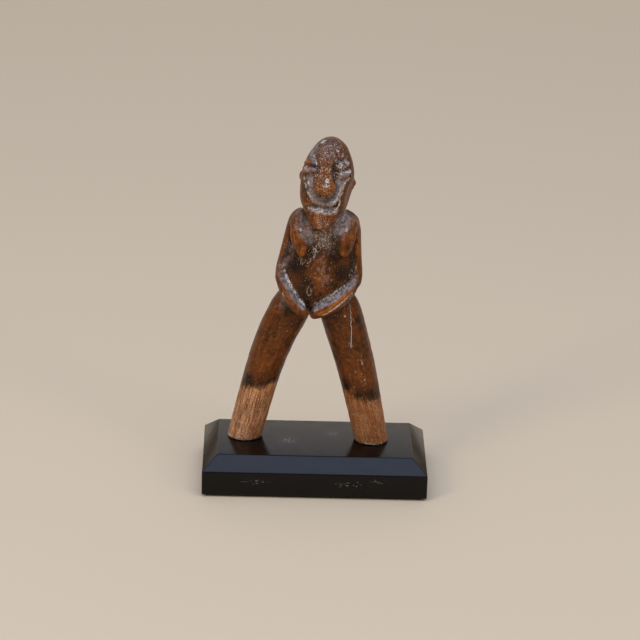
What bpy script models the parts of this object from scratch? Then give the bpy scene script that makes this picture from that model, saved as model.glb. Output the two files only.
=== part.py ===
"""A carved standing fertility doll on a chamfered display base.

The doll is one piece of hardwood: a long head with a jutting chin, arms that run down the body to
hands joined below the belly, and two legs set wide apart that end in plain sawn stumps. Each stump
sits on a steel pin that is set in the painted base, with a bead of dried glue round its rim.
A sheet of felt covers the underside of the base.

Frame: origin at the middle of the footprint on the table, +Z up, the doll faces -Y.
"Left" and "right" are the viewer's, so left is -X.
"""

from math import cos, radians, sin, tau

import bmesh
import bpy
from mathutils import Matrix, Vector

MM = 0.001

# Driving dimensions, in metres.
BASE_WIDTH = 0.120
BASE_DEPTH = 0.064
BASE_TOP = 0.0215
FELT_THICKNESS = 0.0010
FELT_INSET = 0.0020
CHAMFER_INSET = 0.0079
CHAMFER_DROP = 0.0072
EDGE_BREAK = 0.0004
GAP = 0.0003

PIN_RADIUS = 0.00125
PIN_HOLE_RADIUS = 0.0016
PIN_DEPTH_IN_BASE = 0.0115
PIN_HEIGHT_IN_LEG = 0.0145
PIN_LEFT = Vector((-0.0358, 0.0028, BASE_TOP))
PIN_RIGHT = Vector((0.0292, 0.0002, BASE_TOP))

GLUE_HEIGHT = 0.0009
GLUE_WIDTH = 0.0009

HEAD_TURN = radians(-6.0)
VOXEL = 0.0013
KEPT_FACES = 0.19

# Each limb is a list of stations along it, in millimetres: the middle of the section (x, y, z),
# then half the width and half the depth of its oval.
LEFT_LEG = [
    (-39.2, 3.0, 16.0, 9.1, 9.3),
    (-37.4, 3.0, 24.0, 9.1, 9.3),
    (-34.6, 2.9, 36.0, 9.3, 9.6),
    (-31.4, 2.7, 49.0, 9.4, 9.9),
    (-27.2, 2.3, 65.0, 9.7, 10.4),
    (-22.0, 1.8, 81.0, 10.2, 11.0),
    (-15.6, 1.2, 95.0, 10.6, 11.6),
    (-10.5, 0.8, 104.0, 9.0, 10.6),
]
RIGHT_LEG = [
    (31.7, 0.2, 16.0, 9.1, 9.3),
    (29.9, 0.3, 24.0, 9.1, 9.3),
    (27.3, 0.4, 36.0, 9.3, 9.6),
    (24.4, 0.5, 49.0, 9.7, 9.9),
    (20.5, 0.7, 65.0, 10.2, 10.4),
    (16.0, 0.8, 81.0, 10.8, 11.0),
    (11.6, 0.8, 95.0, 11.0, 11.6),
    (8.0, 0.8, 104.0, 9.6, 10.6),
]
TRUNK = [
    (-2.6, 1.5, 95.0, 5.5, 6.0),
    (-2.0, 1.0, 99.0, 14.5, 11.4),
    (-1.4, 0.2, 105.0, 18.4, 13.6),
    (-1.0, -0.4, 112.0, 18.6, 14.2),
    (-0.6, -0.6, 121.0, 17.4, 13.4),
    (0.4, 0.0, 131.0, 17.0, 11.8),
    (1.2, 0.4, 141.0, 17.4, 11.2),
    (1.4, 1.0, 148.0, 15.0, 9.6),
    (1.6, 1.4, 152.5, 9.6, 8.0),
    (1.6, 1.4, 158.0, 7.4, 7.4),
    (1.6, 1.4, 166.0, 7.0, 7.2),
]
LEFT_UPPER_ARM = [
    (-11.0, 0.8, 150.0, 3.6, 5.0),
    (-13.2, 0.6, 146.0, 5.0, 6.0),
    (-14.6, 0.2, 138.0, 4.9, 5.6),
    (-16.8, -0.4, 127.0, 4.8, 5.2),
    (-18.7, -1.4, 117.5, 4.8, 5.2),
    (-18.0, -3.0, 111.0, 4.2, 4.8),
]
RIGHT_UPPER_ARM = [
    (13.0, 0.8, 150.0, 3.6, 5.0),
    (15.4, 0.6, 146.0, 5.0, 6.0),
    (16.7, 0.2, 138.0, 4.8, 5.6),
    (17.3, -0.4, 127.0, 4.6, 5.2),
    (17.9, -1.4, 117.5, 4.6, 5.2),
    (17.2, -3.0, 111.0, 4.2, 4.8),
]
LEFT_FOREARM = [
    (-19.4, -1.0, 117.0, 3.8, 4.2),
    (-17.2, -6.6, 110.0, 3.9, 4.2),
    (-13.0, -10.8, 103.5, 3.4, 3.8),
    (-9.0, -13.2, 99.6, 3.0, 3.4),
    (-6.4, -13.8, 97.4, 2.2, 2.6),
]
RIGHT_FOREARM = [
    (18.6, -1.0, 117.0, 3.8, 4.2),
    (15.2, -6.8, 110.2, 3.9, 4.2),
    (9.4, -11.0, 104.4, 3.7, 3.9),
    (3.0, -13.6, 100.4, 3.4, 3.6),
    (-2.2, -14.4, 97.6, 2.6, 2.8),
]
LEFT_BREAST = [
    (-9.6, -1.0, 151.0, 4.4, 4.6),
    (-11.6, -4.8, 146.4, 5.6, 5.4),
    (-11.8, -8.6, 140.2, 4.9, 5.0),
    (-10.7, -12.0, 134.6, 3.4, 3.8),
    (-9.8, -14.0, 130.8, 1.5, 2.0),
]
RIGHT_BREAST = [
    (12.8, -1.0, 151.0, 4.4, 4.6),
    (15.0, -4.8, 146.4, 5.6, 5.4),
    (14.6, -8.6, 140.4, 4.9, 5.0),
    (13.0, -12.0, 134.8, 3.4, 3.8),
    (11.9, -14.0, 131.0, 1.5, 2.0),
]
# The head is modelled looking straight ahead and then turned about the neck.
HEAD = [
    (0.0, -11.6, 145.8, 3.6, 2.4),
    (0.0, -11.2, 147.6, 6.2, 4.6),
    (0.0, -10.0, 151.0, 8.6, 6.8),
    (0.0, -8.0, 154.8, 10.6, 9.2),
    (0.1, -5.4, 159.0, 12.6, 11.8),
    (0.3, -3.2, 163.4, 13.7, 13.2),
    (0.7, -1.6, 168.2, 13.9, 14.0),
    (1.2, -0.4, 173.5, 13.4, 14.2),
    (1.6, 0.6, 179.0, 11.8, 13.2),
    (2.0, 1.2, 184.0, 9.4, 11.0),
    (2.3, 1.6, 188.4, 6.4, 7.8),
    (2.4, 1.8, 191.2, 2.6, 3.2),
]
NOSE = [
    (0.0, -9.0, 184.0, 3.6, 3.0),
    (0.0, -12.6, 178.0, 3.6, 3.2),
    (0.0, -14.6, 172.0, 4.4, 3.6),
    (0.0, -15.4, 168.0, 4.8, 3.8),
    (0.0, -14.6, 165.6, 3.4, 3.0),
]
# Eyes and ears: (x, y, z) of the middle, then half the width, depth and height.
EYES = [(-8.4, -9.0, 178.0, 3.6, 3.0, 4.6), (10.0, -8.6, 175.6, 4.2, 3.2, 4.6)]
EARS = [(-12.9, 1.4, 169.4, 1.7, 1.9, 3.0), (14.3, 1.4, 166.0, 1.9, 2.0, 2.9)]
HAND_KNOB = (-2.6, -14.6, 97.2, 2.4, 2.4, 2.0)
NECK_AXIS = Vector((1.9, 0.0, 0.0)) * MM

LIMB_SIDES = 20
RINGS_PER_STATION = 3


def clear_scene():
    """Start from an empty scene."""
    for old in list(bpy.data.objects):
        bpy.data.objects.remove(old, do_unlink=True)


def material(name, colour, roughness, metallic=0.0):
    """A plain Principled material."""
    made = bpy.data.materials.new(name)
    made.use_nodes = True
    shader = made.node_tree.nodes["Principled BSDF"]
    shader.inputs["Base Color"].default_value = (*colour, 1.0)
    shader.inputs["Roughness"].default_value = roughness
    shader.inputs["Metallic"].default_value = metallic
    return made


def add_object(name, bm, made_of):
    """Turn a bmesh into a named object, shaded smooth with its sharp edges kept."""
    bmesh.ops.recalc_face_normals(bm, faces=bm.faces)
    mesh = bpy.data.meshes.new(name)
    bm.to_mesh(mesh)
    bm.free()
    mesh.shade_smooth()
    mesh.set_sharp_from_angle(angle=radians(35.0))
    mesh.materials.append(made_of)
    thing = bpy.data.objects.new(name, mesh)
    bpy.context.scene.collection.objects.link(thing)
    return thing


def between(stations, at):
    """The station at a place along a limb, on a smooth curve through the hand-set ones."""
    last = len(stations) - 1
    first = min(int(at), last - 1)
    t = at - first
    a, b, c, d = (stations[max(0, min(last, first + k))] for k in (-1, 0, 1, 2))
    return [
        q + 0.5 * t * (r - p + t * (2 * p - 5 * q + 4 * r - s + t * (3 * (q - r) + s - p)))
        for p, q, r, s in zip(a, b, c, d)
    ]


def add_limb(bm, stations):
    """Loft an oval tube with closed ends through the stations, square to its own path."""
    count = (len(stations) - 1) * RINGS_PER_STATION + 1
    places = [between(stations, k / RINGS_PER_STATION) for k in range(count)]
    rings = []
    for k, (x, y, z, half_width, half_depth) in enumerate(places):
        before, after = places[max(0, k - 1)], places[min(count - 1, k + 1)]
        along = (Vector(after[:3]) - Vector(before[:3])).normalized()
        side = along.cross(Vector((0.0, 1.0, 0.0))).normalized()
        front = side.cross(along)
        frame = Matrix((side, front, along)).transposed().to_4x4()
        place = Matrix.Translation(Vector((x, y, z)) * MM) @ frame
        oval = Matrix.Diagonal((half_width * MM, half_depth * MM, 1.0, 1.0))
        made = bmesh.ops.create_circle(bm, segments=LIMB_SIDES, radius=1.0, matrix=place @ oval)
        rings.append(made["verts"])
    for lower, upper in zip(rings, rings[1:]):
        edges = [e for ring in (lower, upper) for e in {e for v in ring for e in v.link_edges} if
                 all(v in ring for v in e.verts)]
        bmesh.ops.bridge_loops(bm, edges=edges)
    for ring in (rings[0], rings[-1]):
        bmesh.ops.contextual_create(bm, geom=ring)


def add_lump(bm, place):
    """A rounded lump: the middle and the half sizes, in millimetres."""
    x, y, z, half_width, half_depth, half_height = (value * MM for value in place)
    size = Matrix.Diagonal((half_width, half_depth, half_height, 1.0))
    matrix = Matrix.Translation((x, y, z)) @ size
    bmesh.ops.create_icosphere(bm, subdivisions=2, radius=1.0, matrix=matrix)


def add_head(bm):
    """The head looking straight ahead, turned a little about the neck and set on the body."""
    head = bmesh.new()
    add_limb(head, HEAD)
    add_limb(head, NOSE)
    for lump in EYES + EARS:
        add_lump(head, lump)
    turn = Matrix.Translation(NECK_AXIS) @ Matrix.Rotation(HEAD_TURN, 4, "Z")
    bmesh.ops.transform(head, matrix=turn, verts=head.verts)
    loose = bpy.data.meshes.new("head_form")
    bmesh.ops.recalc_face_normals(head, faces=head.faces)
    head.to_mesh(loose)
    head.free()
    bm.from_mesh(loose)
    bpy.data.meshes.remove(loose)


def add_cutter(name, bm):
    """A helper that is cut from another object and isn't part of the model."""
    cutter = add_object(name, bm, bpy.data.materials[0])
    cutter.hide_render = True
    cutter.display_type = "WIRE"
    return cutter


def upright_cylinder(bm, middle, radius, low, high, sides):
    """A closed cylinder along Z between two heights."""
    place = Matrix.Translation((middle.x, middle.y, (low + high) / 2))
    bmesh.ops.create_cone(
        bm,
        cap_ends=True,
        segments=sides,
        radius1=radius,
        radius2=radius,
        depth=high - low,
        matrix=place,
    )


def box(bm, low, high):
    """A closed box between two corners."""
    low, high = Vector(low), Vector(high)
    size = Matrix.Diagonal((*(high - low), 1.0))
    bmesh.ops.create_cube(bm, size=1.0, matrix=Matrix.Translation((low + high) / 2) @ size)


def cut(target, cutter):
    """Take the cutter's shape out of the target."""
    boolean = target.modifiers.new("cut_" + cutter.name, "BOOLEAN")
    boolean.operation = "DIFFERENCE"
    boolean.solver = "EXACT"
    boolean.object = cutter


def make_figure(wood, pins):
    """The doll: overlapping limbs melted into one carved body, sawn flat at the feet."""
    bm = bmesh.new()
    for limb in (
        LEFT_LEG,
        RIGHT_LEG,
        TRUNK,
        LEFT_UPPER_ARM,
        RIGHT_UPPER_ARM,
        LEFT_FOREARM,
        RIGHT_FOREARM,
        LEFT_BREAST,
        RIGHT_BREAST,
    ):
        add_limb(bm, limb)
    add_lump(bm, HAND_KNOB)
    add_head(bm)
    figure = add_object("carved_figure", bm, wood)

    melt = figure.modifiers.new("melt_together", "REMESH")
    melt.mode = "VOXEL"
    melt.voxel_size = VOXEL
    melt.use_smooth_shade = True
    soften = figure.modifiers.new("soften", "SMOOTH")
    soften.factor = 0.5
    soften.iterations = 3
    thin = figure.modifiers.new("thin_out", "DECIMATE")
    thin.ratio = KEPT_FACES

    saw = bmesh.new()
    box(saw, (-0.06, -0.03, 0.0), (0.06, 0.03, BASE_TOP + GAP))
    cut(figure, add_cutter("foot_saw", saw))
    top = BASE_TOP + PIN_HEIGHT_IN_LEG + GAP
    for name, pin in pins.items():
        drill = bmesh.new()
        upright_cylinder(drill, pin, PIN_HOLE_RADIUS, BASE_TOP - 0.001, top, 16)
        cut(figure, add_cutter("leg_drill_" + name, drill))
    return figure


def make_base(paint, pins):
    """The base: a block with its four top edges chamfered and two blind pin holes."""
    low = FELT_THICKNESS + GAP
    half = Vector((BASE_WIDTH / 2, BASE_DEPTH / 2, 0.0))
    bm = bmesh.new()
    box(bm, (-half.x, -half.y, low), (half.x, half.y, BASE_TOP - CHAMFER_DROP))
    top = [f for f in bm.faces if f.normal.z > 0.9]
    raised = bmesh.ops.extrude_face_region(bm, geom=top)
    verts = [v for v in raised["geom"] if isinstance(v, bmesh.types.BMVert)]
    bmesh.ops.delete(bm, geom=top, context="FACES_ONLY")
    shrink = Matrix.Diagonal((1 - CHAMFER_INSET / half.x, 1 - CHAMFER_INSET / half.y, 1.0, 1.0))
    bmesh.ops.transform(bm, matrix=shrink, verts=verts)
    bmesh.ops.translate(bm, vec=(0.0, 0.0, CHAMFER_DROP), verts=verts)
    bmesh.ops.bevel(
        bm,
        geom=bm.edges[:],
        offset=EDGE_BREAK,
        segments=1,
        profile=0.5,
        affect="EDGES",
        material=-1,
    )
    base = add_object("display_base", bm, paint)
    for name, pin in pins.items():
        drill = bmesh.new()
        bottom = BASE_TOP - PIN_DEPTH_IN_BASE - GAP
        upright_cylinder(drill, pin, PIN_HOLE_RADIUS, bottom, BASE_TOP + 0.001, 16)
        cut(base, add_cutter("base_drill_" + name, drill))
    return base


def make_pin(name, pin, steel):
    """A round steel pin, half in the base and half in the leg."""
    bm = bmesh.new()
    low, high = BASE_TOP - PIN_DEPTH_IN_BASE, BASE_TOP + PIN_HEIGHT_IN_LEG
    upright_cylinder(bm, pin, PIN_RADIUS, low, high, 16)
    return add_object("mounting_pin_" + name, bm, steel)


def make_glue(name, leg, glue):
    """The bead of dried glue that squeezed out round a foot: a ring with a sloping outer face."""
    lower, upper = (Vector(leg[k][:3]) * MM for k in (0, 1))
    lean = (upper - lower) / (upper.z - lower.z)
    middle = lower + lean * (BASE_TOP - lower.z)
    half_width = leg[0][3] * MM * lean.length + GAP
    half_depth = leg[0][4] * MM + GAP
    profile = [
        (2 * GAP / 3, GAP),
        (GLUE_WIDTH, GAP),
        (GLUE_WIDTH * 0.75, GAP + GLUE_HEIGHT * 0.45),
        (2 * GAP / 3, GAP + GLUE_HEIGHT),
    ]
    sides = 32
    bm = bmesh.new()
    grid = []
    for k in range(sides):
        angle = tau * k / sides
        grid.append([])
        for out, up in profile:
            place = middle + lean * up
            place.x += (half_width + out) * cos(angle)
            place.y += (half_depth + out) * sin(angle)
            grid[-1].append(bm.verts.new(place))
    for k in range(sides):
        here, there = grid[k], grid[(k + 1) % sides]
        for j in range(len(profile)):
            after = (j + 1) % len(profile)
            bm.faces.new((here[j], there[j], there[after], here[after]))
    return add_object("glue_bead_" + name, bm, glue)


def make_felt(felt):
    """The sheet of felt under the base, which is what the object stands on."""
    bm = bmesh.new()
    half_width, half_depth = BASE_WIDTH / 2 - FELT_INSET, BASE_DEPTH / 2 - FELT_INSET
    box(bm, (-half_width, -half_depth, 0.0), (half_width, half_depth, FELT_THICKNESS))
    return add_object("base_felt", bm, felt)


def main():
    """Build every piece in its place."""
    clear_scene()
    wood = material("patinated_wood", (0.105, 0.040, 0.013), 0.38)
    paint = material("black_paint", (0.010, 0.009, 0.008), 0.35)
    steel = material("steel", (0.56, 0.57, 0.58), 0.30, 1.0)
    glue = material("dried_glue", (0.55, 0.50, 0.40), 0.25)
    felt = material("black_felt", (0.015, 0.015, 0.016), 0.95)
    pins = {"left": PIN_LEFT, "right": PIN_RIGHT}
    make_figure(wood, pins)
    make_base(paint, pins)
    for name, pin in pins.items():
        make_pin(name, pin, steel)
    make_glue("left", LEFT_LEG, glue)
    make_glue("right", RIGHT_LEG, glue)
    make_felt(felt)


main()
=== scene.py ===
# %% [markdown]
# # A carved fertility doll on a black display base
#
# The real object is a small doll cut from one piece of hardwood. It has a long egg of a head with
# a jutting chin, thin arms that run down to hands joined below the belly, and two legs set wide
# apart. A dealer has set it on a black painted block, with a steel pin up each leg and a bead of
# glue round each foot. This lesson models it as a carver would: first the rough forms, then the
# knife cuts, then the finish that years of handling leave behind.

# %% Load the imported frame
from math import cos, hypot, pi, radians, sin, tau

import bmesh
import bpy
import numpy as np
from mathutils import Matrix, Vector, noise


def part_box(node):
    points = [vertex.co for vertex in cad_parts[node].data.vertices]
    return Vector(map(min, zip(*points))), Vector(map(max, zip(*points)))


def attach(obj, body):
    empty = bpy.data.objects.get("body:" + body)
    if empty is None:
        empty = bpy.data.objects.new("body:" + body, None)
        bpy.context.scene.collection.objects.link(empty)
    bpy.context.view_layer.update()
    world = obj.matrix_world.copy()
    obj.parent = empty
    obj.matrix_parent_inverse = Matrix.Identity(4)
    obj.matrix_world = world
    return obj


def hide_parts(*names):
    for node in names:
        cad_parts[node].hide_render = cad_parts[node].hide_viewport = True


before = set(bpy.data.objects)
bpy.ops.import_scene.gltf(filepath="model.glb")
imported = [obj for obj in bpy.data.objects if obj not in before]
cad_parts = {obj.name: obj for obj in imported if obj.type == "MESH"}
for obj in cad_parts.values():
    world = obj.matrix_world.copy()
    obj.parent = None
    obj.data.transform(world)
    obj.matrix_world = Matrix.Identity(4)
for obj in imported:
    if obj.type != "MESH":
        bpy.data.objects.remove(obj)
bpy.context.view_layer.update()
base_low, base_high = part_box("display_base")
felt_low, felt_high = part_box("base_felt")
MM = 0.001
print("nodes:", sorted(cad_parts))

# %% [markdown]
# ## Camera, floor and light
#
# The doll is seen from the front and a little above, through a long lens, with the horizon tipped
# by less than two degrees. The light is what a window above a table gives: one wide, cool source
# overhead, a warmer and weaker one low at each side, and a grey room around. Wide sources matter,
# because polished wood shows its shape by what it mirrors.

# %% Camera
TILT_DOWN = 21.09
TURN = -1.21
ROLL = 1.74
CAMERA_PLACE = (-0.0316, -1.5388, 0.6835)
CAMERA_LENS, SENSOR_WIDTH = 174.5, 36.0
FARTHEST_SEEN = 20.0


def placed(name, data):
    """A new object with this data, linked to the scene."""
    thing = bpy.data.objects.new(name, data)
    bpy.context.scene.collection.objects.link(thing)
    return thing


camera_data = bpy.data.cameras.new("camera")
camera_data.lens = CAMERA_LENS
camera_data.sensor_width = SENSOR_WIDTH
camera_data.clip_end = FARTHEST_SEEN
camera = placed("camera", camera_data)
camera.matrix_world = (
    Matrix.Translation(CAMERA_PLACE)
    @ Matrix.Rotation(radians(TURN), 4, "Z")
    @ Matrix.Rotation(radians(90.0 - TILT_DOWN), 4, "X")
    @ Matrix.Rotation(radians(ROLL), 4, "Z")
)
bpy.context.scene.camera = camera
bpy.context.scene.view_settings.view_transform = "Standard"
print("camera at", CAMERA_PLACE, "lens", CAMERA_LENS)


# %% Colours from hex codes
def colour(code):
    """An sRGB hex code as a linear colour with full alpha."""
    channels = [int(code[k : k + 2], 16) / 255.0 for k in (1, 3, 5)]
    linear = [c / 12.92 if c <= 0.04045 else ((c + 0.055) / 1.055) ** 2.4 for c in channels]
    return (*linear, 1.0)


print("half-bright grey in linear light:", round(colour("#808080")[0], 3))

# %% One function that adds a node
TIMES, MINUS = {"operation": "MULTIPLY"}, {"operation": "SUBTRACT"}
LARGEST, TIMES_PLUS = {"operation": "MAXIMUM"}, {"operation": "MULTIPLY_ADD"}
EASE = {"interpolation_type": "SMOOTHSTEP"}
COLOURS, DARKEN = {"data_type": "RGBA"}, {"data_type": "RGBA", "blend_type": "MULTIPLY"}


def add(kind, *inputs, out=None, **settings):
    """Add a shader node to the tree in hand, and give back the output that it is used for.

    The inputs fill the open sockets in order, or by name in one dictionary. A socket is linked, a
    hex code becomes a colour, None leaves a socket as it is, and anything else is its value. The
    setting "stops" fills a colour ramp with (position, hex code) pairs.
    """
    node = tree.nodes.new("ShaderNode" + kind)
    for stop in range(len(settings.get("stops", ())) - 2):
        node.color_ramp.elements.new(0.5)
    for stop, (position, code) in enumerate(settings.pop("stops", ())):
        node.color_ramp.elements[stop].position = position
        node.color_ramp.elements[stop].color = colour(code)
    for key, value in settings.items():
        setattr(node, key, value)
    sockets = zip([s for s in node.inputs if s.enabled], inputs)
    if inputs and isinstance(inputs[0], dict):
        sockets = [(node.inputs[key], value) for key, value in inputs[0].items()]
    for socket, value in sockets:
        if isinstance(value, bpy.types.NodeSocket):
            tree.links.new(value, socket)
        elif value is not None:
            socket.default_value = colour(value) if isinstance(value, str) else value
    return node.outputs[out] if out else next(s for s in node.outputs if s.enabled)


print("every node is added by:", add.__name__)


# %% A new material
def new_material(name, **fixed):
    """A material with only its Principled shader, whose fixed values are set on its own sockets."""
    material = bpy.data.materials.new(name)
    material.use_nodes = True
    shader = material.node_tree.nodes["Principled BSDF"]
    for key, value in fixed.items():
        shader.inputs[key.replace("_", " ")].default_value = value
    return material, material.node_tree, shader


print("every material is started by:", new_material.__name__)

# %% Floor
# Matt pale paint: an even surface that takes a soft shadow and gives a warm light from below.
FLOOR_REACH = 4.0
floor_mesh = bpy.data.meshes.new("floor")
floor_bm = bmesh.new()
bmesh.ops.create_grid(floor_bm, x_segments=1, y_segments=1, size=FLOOR_REACH)
floor_bm.to_mesh(floor_mesh)
floor_bm.free()
floor = placed("floor", floor_mesh)
floor_paint, _, _ = new_material("pale_floor", Base_Color=colour("#e4cba6"), Roughness=0.9)
floor_mesh.materials.append(floor_paint)
print("floor, m:", 2 * FLOOR_REACH, "square")

# %% Room light and soft boxes
ROOM_STRENGTH = 1.1
AIM = Vector((0.0, 0.0, 0.10))
ROOM = [(0.0, "#7b6a5b"), (0.2, "#80725f"), (0.45, "#89898c"), (1.0, "#b9cdf4")]
world = bpy.data.worlds.new("room")
world.use_nodes = True
tree = world.node_tree
height = add("SeparateXYZ", add("TexCoord", out="Generated"), out="Z")
room_light = add("ValToRGB", height, stops=ROOM)
tree.links.new(room_light, tree.nodes["Background"].inputs["Color"])
tree.nodes["Background"].inputs["Strength"].default_value = ROOM_STRENGTH
bpy.context.scene.world = world
LIGHTS = {
    # name: (place, size x and y, watts, colour)
    "window_above": ((0.0, -0.42, 1.35), (1.70, 0.80), 10.5, "#cbdcff"),
    "window_left": ((-1.00, -0.95, 0.95), (0.45, 0.45), 5.0, "#fff6ea"),
    "wall_behind": ((0.0, 1.70, 0.72), (2.80, 0.80), 3.6, "#fff6f0"),
    "lamp_right": ((1.10, -1.00, 0.80), (0.35, 0.35), 2.0, "#fff0dd"),
}
for name, (place, size, watts, tint) in LIGHTS.items():
    lamp = bpy.data.lights.new(name, "AREA")
    lamp.shape = "RECTANGLE"
    lamp.size, lamp.size_y = size
    lamp.energy = watts
    lamp.color = colour(tint)[:3]
    shown = placed(name, lamp)
    shown.location = place
    shown.rotation_euler = (AIM - Vector(place)).to_track_quat("-Z", "Y").to_euler()
    shown.visible_camera = False
print("lights:", ", ".join(LIGHTS))

# %% [markdown]
# ## The rough forms
#
# A carver first chops a billet into masses: an egg for the head, a trunk, and four limbs. Each mass
# here is a tube lofted through a few oval sections, so its bends and swellings are set one by one.
# Circles made with `create_circle` are joined with `bridge_loops`. The tubes just overlap, and a
# voxel remesh then melts them into one skin, which is a good way to begin any carving or clay.

# %% Sections along each limb
# Each section is the middle (x, y, z), half the width and half the depth, in millimetres. Left and
# right are as the viewer sees them.
LEFT_LEG = [
    (-39.2, 3.0, 16.0, 9.1, 9.3), (-37.4, 3.0, 24.0, 9.1, 9.3), (-34.6, 2.9, 36.0, 9.3, 9.6),
    (-31.4, 2.7, 49.0, 9.4, 9.9), (-27.2, 2.3, 65.0, 9.7, 10.4), (-22.0, 1.8, 81.0, 10.2, 11.0),
    (-15.6, 1.2, 95.0, 10.6, 11.6), (-10.5, 0.8, 104.0, 9.0, 10.6),
]
RIGHT_LEG = [
    (31.7, 0.2, 16.0, 9.1, 9.3), (29.9, 0.3, 24.0, 9.1, 9.3), (27.3, 0.4, 36.0, 9.3, 9.6),
    (24.4, 0.5, 49.0, 9.7, 9.9), (20.5, 0.7, 65.0, 10.2, 10.4), (16.0, 0.8, 81.0, 10.8, 11.0),
    (11.6, 0.8, 95.0, 11.0, 11.6), (8.0, 0.8, 104.0, 9.6, 10.6),
]
TRUNK = [
    (-2.6, 1.5, 95.0, 5.5, 6.0), (-2.0, 1.0, 99.0, 14.5, 11.4), (-1.4, 0.2, 105.0, 18.4, 13.6),
    (-1.0, -0.4, 112.0, 18.6, 14.2), (-0.6, -0.6, 121.0, 18.4, 13.2),
    (0.4, 0.0, 131.0, 17.3, 11.4), (1.2, -0.2, 141.0, 16.4, 11.6), (1.4, 0.4, 147.6, 14.0, 10.6),
    (1.6, 1.4, 152.5, 9.6, 8.0), (1.6, 1.4, 158.0, 7.4, 7.4), (1.6, 1.4, 166.0, 7.0, 7.2),
]
LEFT_UPPER_ARM = [
    (-8.6, 0.8, 149.8, 3.6, 5.0), (-12.0, 0.6, 146.0, 4.9, 5.8), (-14.5, 0.2, 138.0, 4.6, 5.6),
    (-17.2, -0.4, 127.0, 4.4, 5.2), (-19.0, -1.4, 117.5, 4.6, 5.2), (-18.4, -2.6, 112.8, 4.5, 5.0),
    (-17.4, -3.8, 109.4, 2.4, 2.8),
]
RIGHT_UPPER_ARM = [
    (11.6, 0.8, 149.8, 3.6, 5.0), (14.9, 0.6, 146.0, 4.9, 5.8), (16.9, 0.2, 138.0, 4.4, 5.6),
    (17.8, -0.4, 127.0, 4.0, 5.2), (18.2, -1.4, 117.5, 4.4, 5.2), (17.6, -2.6, 112.8, 4.3, 5.0),
    (16.6, -3.8, 109.4, 2.4, 2.8),
]
LEFT_FOREARM = [
    (-19.4, -1.6, 117.4, 3.6, 3.8), (-17.4, -6.8, 110.2, 3.9, 3.9),
    (-13.2, -11.0, 103.8, 3.5, 3.6), (-9.2, -13.4, 100.3, 3.1, 3.2), (-6.0, -14.2, 98.4, 2.3, 2.5),
]
RIGHT_FOREARM = [
    (18.6, -1.6, 117.2, 3.6, 3.8), (15.2, -7.0, 110.4, 3.9, 3.9), (9.4, -11.2, 104.6, 3.7, 3.7),
    (3.0, -13.8, 101.0, 3.4, 3.5), (-2.8, -14.8, 98.9, 2.6, 2.8),
]
LEFT_BREAST = [
    (-7.6, -1.4, 150.4, 4.6, 4.6), (-9.8, -5.0, 146.2, 6.2, 5.2), (-10.6, -8.8, 140.2, 5.7, 5.0),
    (-10.4, -12.2, 134.8, 3.9, 3.9), (-9.8, -14.2, 130.9, 1.6, 2.0),
]
RIGHT_BREAST = [
    (10.4, -1.4, 150.4, 4.6, 4.6), (12.6, -5.0, 146.2, 6.2, 5.2), (12.8, -8.8, 140.4, 5.6, 5.0),
    (12.6, -12.2, 135.0, 3.9, 3.9), (12.0, -14.2, 131.1, 1.6, 2.0),
]
HEAD = [
    (-1.0, -12.0, 145.2, 3.2, 2.2), (-1.0, -11.6, 147.0, 5.3, 4.2), (-1.0, -10.2, 151.0, 8.3, 6.8),
    (-0.6, -8.0, 154.8, 10.8, 9.2), (-0.2, -5.4, 159.0, 13.0, 11.6),
    (0.3, -3.2, 163.4, 13.8, 12.8), (0.7, -1.6, 168.2, 14.0, 13.8), (1.2, -0.4, 173.5, 13.5, 13.8),
    (1.6, 0.6, 179.0, 12.2, 12.9), (2.0, 1.2, 184.0, 9.9, 11.0), (2.2, 1.6, 188.4, 6.8, 7.8),
    (2.3, 1.8, 191.2, 2.8, 3.2),
]
NOSE = [
    (1.7, -3.6, 189.0, 4.0, 2.0), (1.4, -7.4, 185.6, 5.2, 2.6), (0.9, -11.4, 180.0, 5.4, 3.2),
    (0.1, -13.6, 174.0, 6.2, 3.9), (-0.1, -14.9, 169.2, 7.0, 4.7), (0.0, -14.8, 166.0, 5.8, 3.9),
]
OVALS = (LEFT_LEG, RIGHT_LEG, TRUNK, LEFT_BREAST, RIGHT_BREAST)
UPPER_ARMS, FOREARMS = (LEFT_UPPER_ARM, RIGHT_UPPER_ARM), (LEFT_FOREARM, RIGHT_FOREARM)
print("masses with sections:", len((HEAD, NOSE, *OVALS, *UPPER_ARMS, *FOREARMS)))


# %% Loft a limb through its sections
def between(sections, at):
    """The section at a place along a limb, on a smooth curve through the ones given."""
    last = len(sections) - 1
    first = min(int(at), last - 1)
    t = at - first
    a, b, c, d = (sections[max(0, min(last, first + k))] for k in (-1, 0, 1, 2))
    return [
        q + 0.5 * t * (r - p + t * (2 * p - 5 * q + 4 * r - s + t * (3 * (q - r) + s - p)))
        for p, q, r, s in zip(a, b, c, d)
    ]


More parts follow.
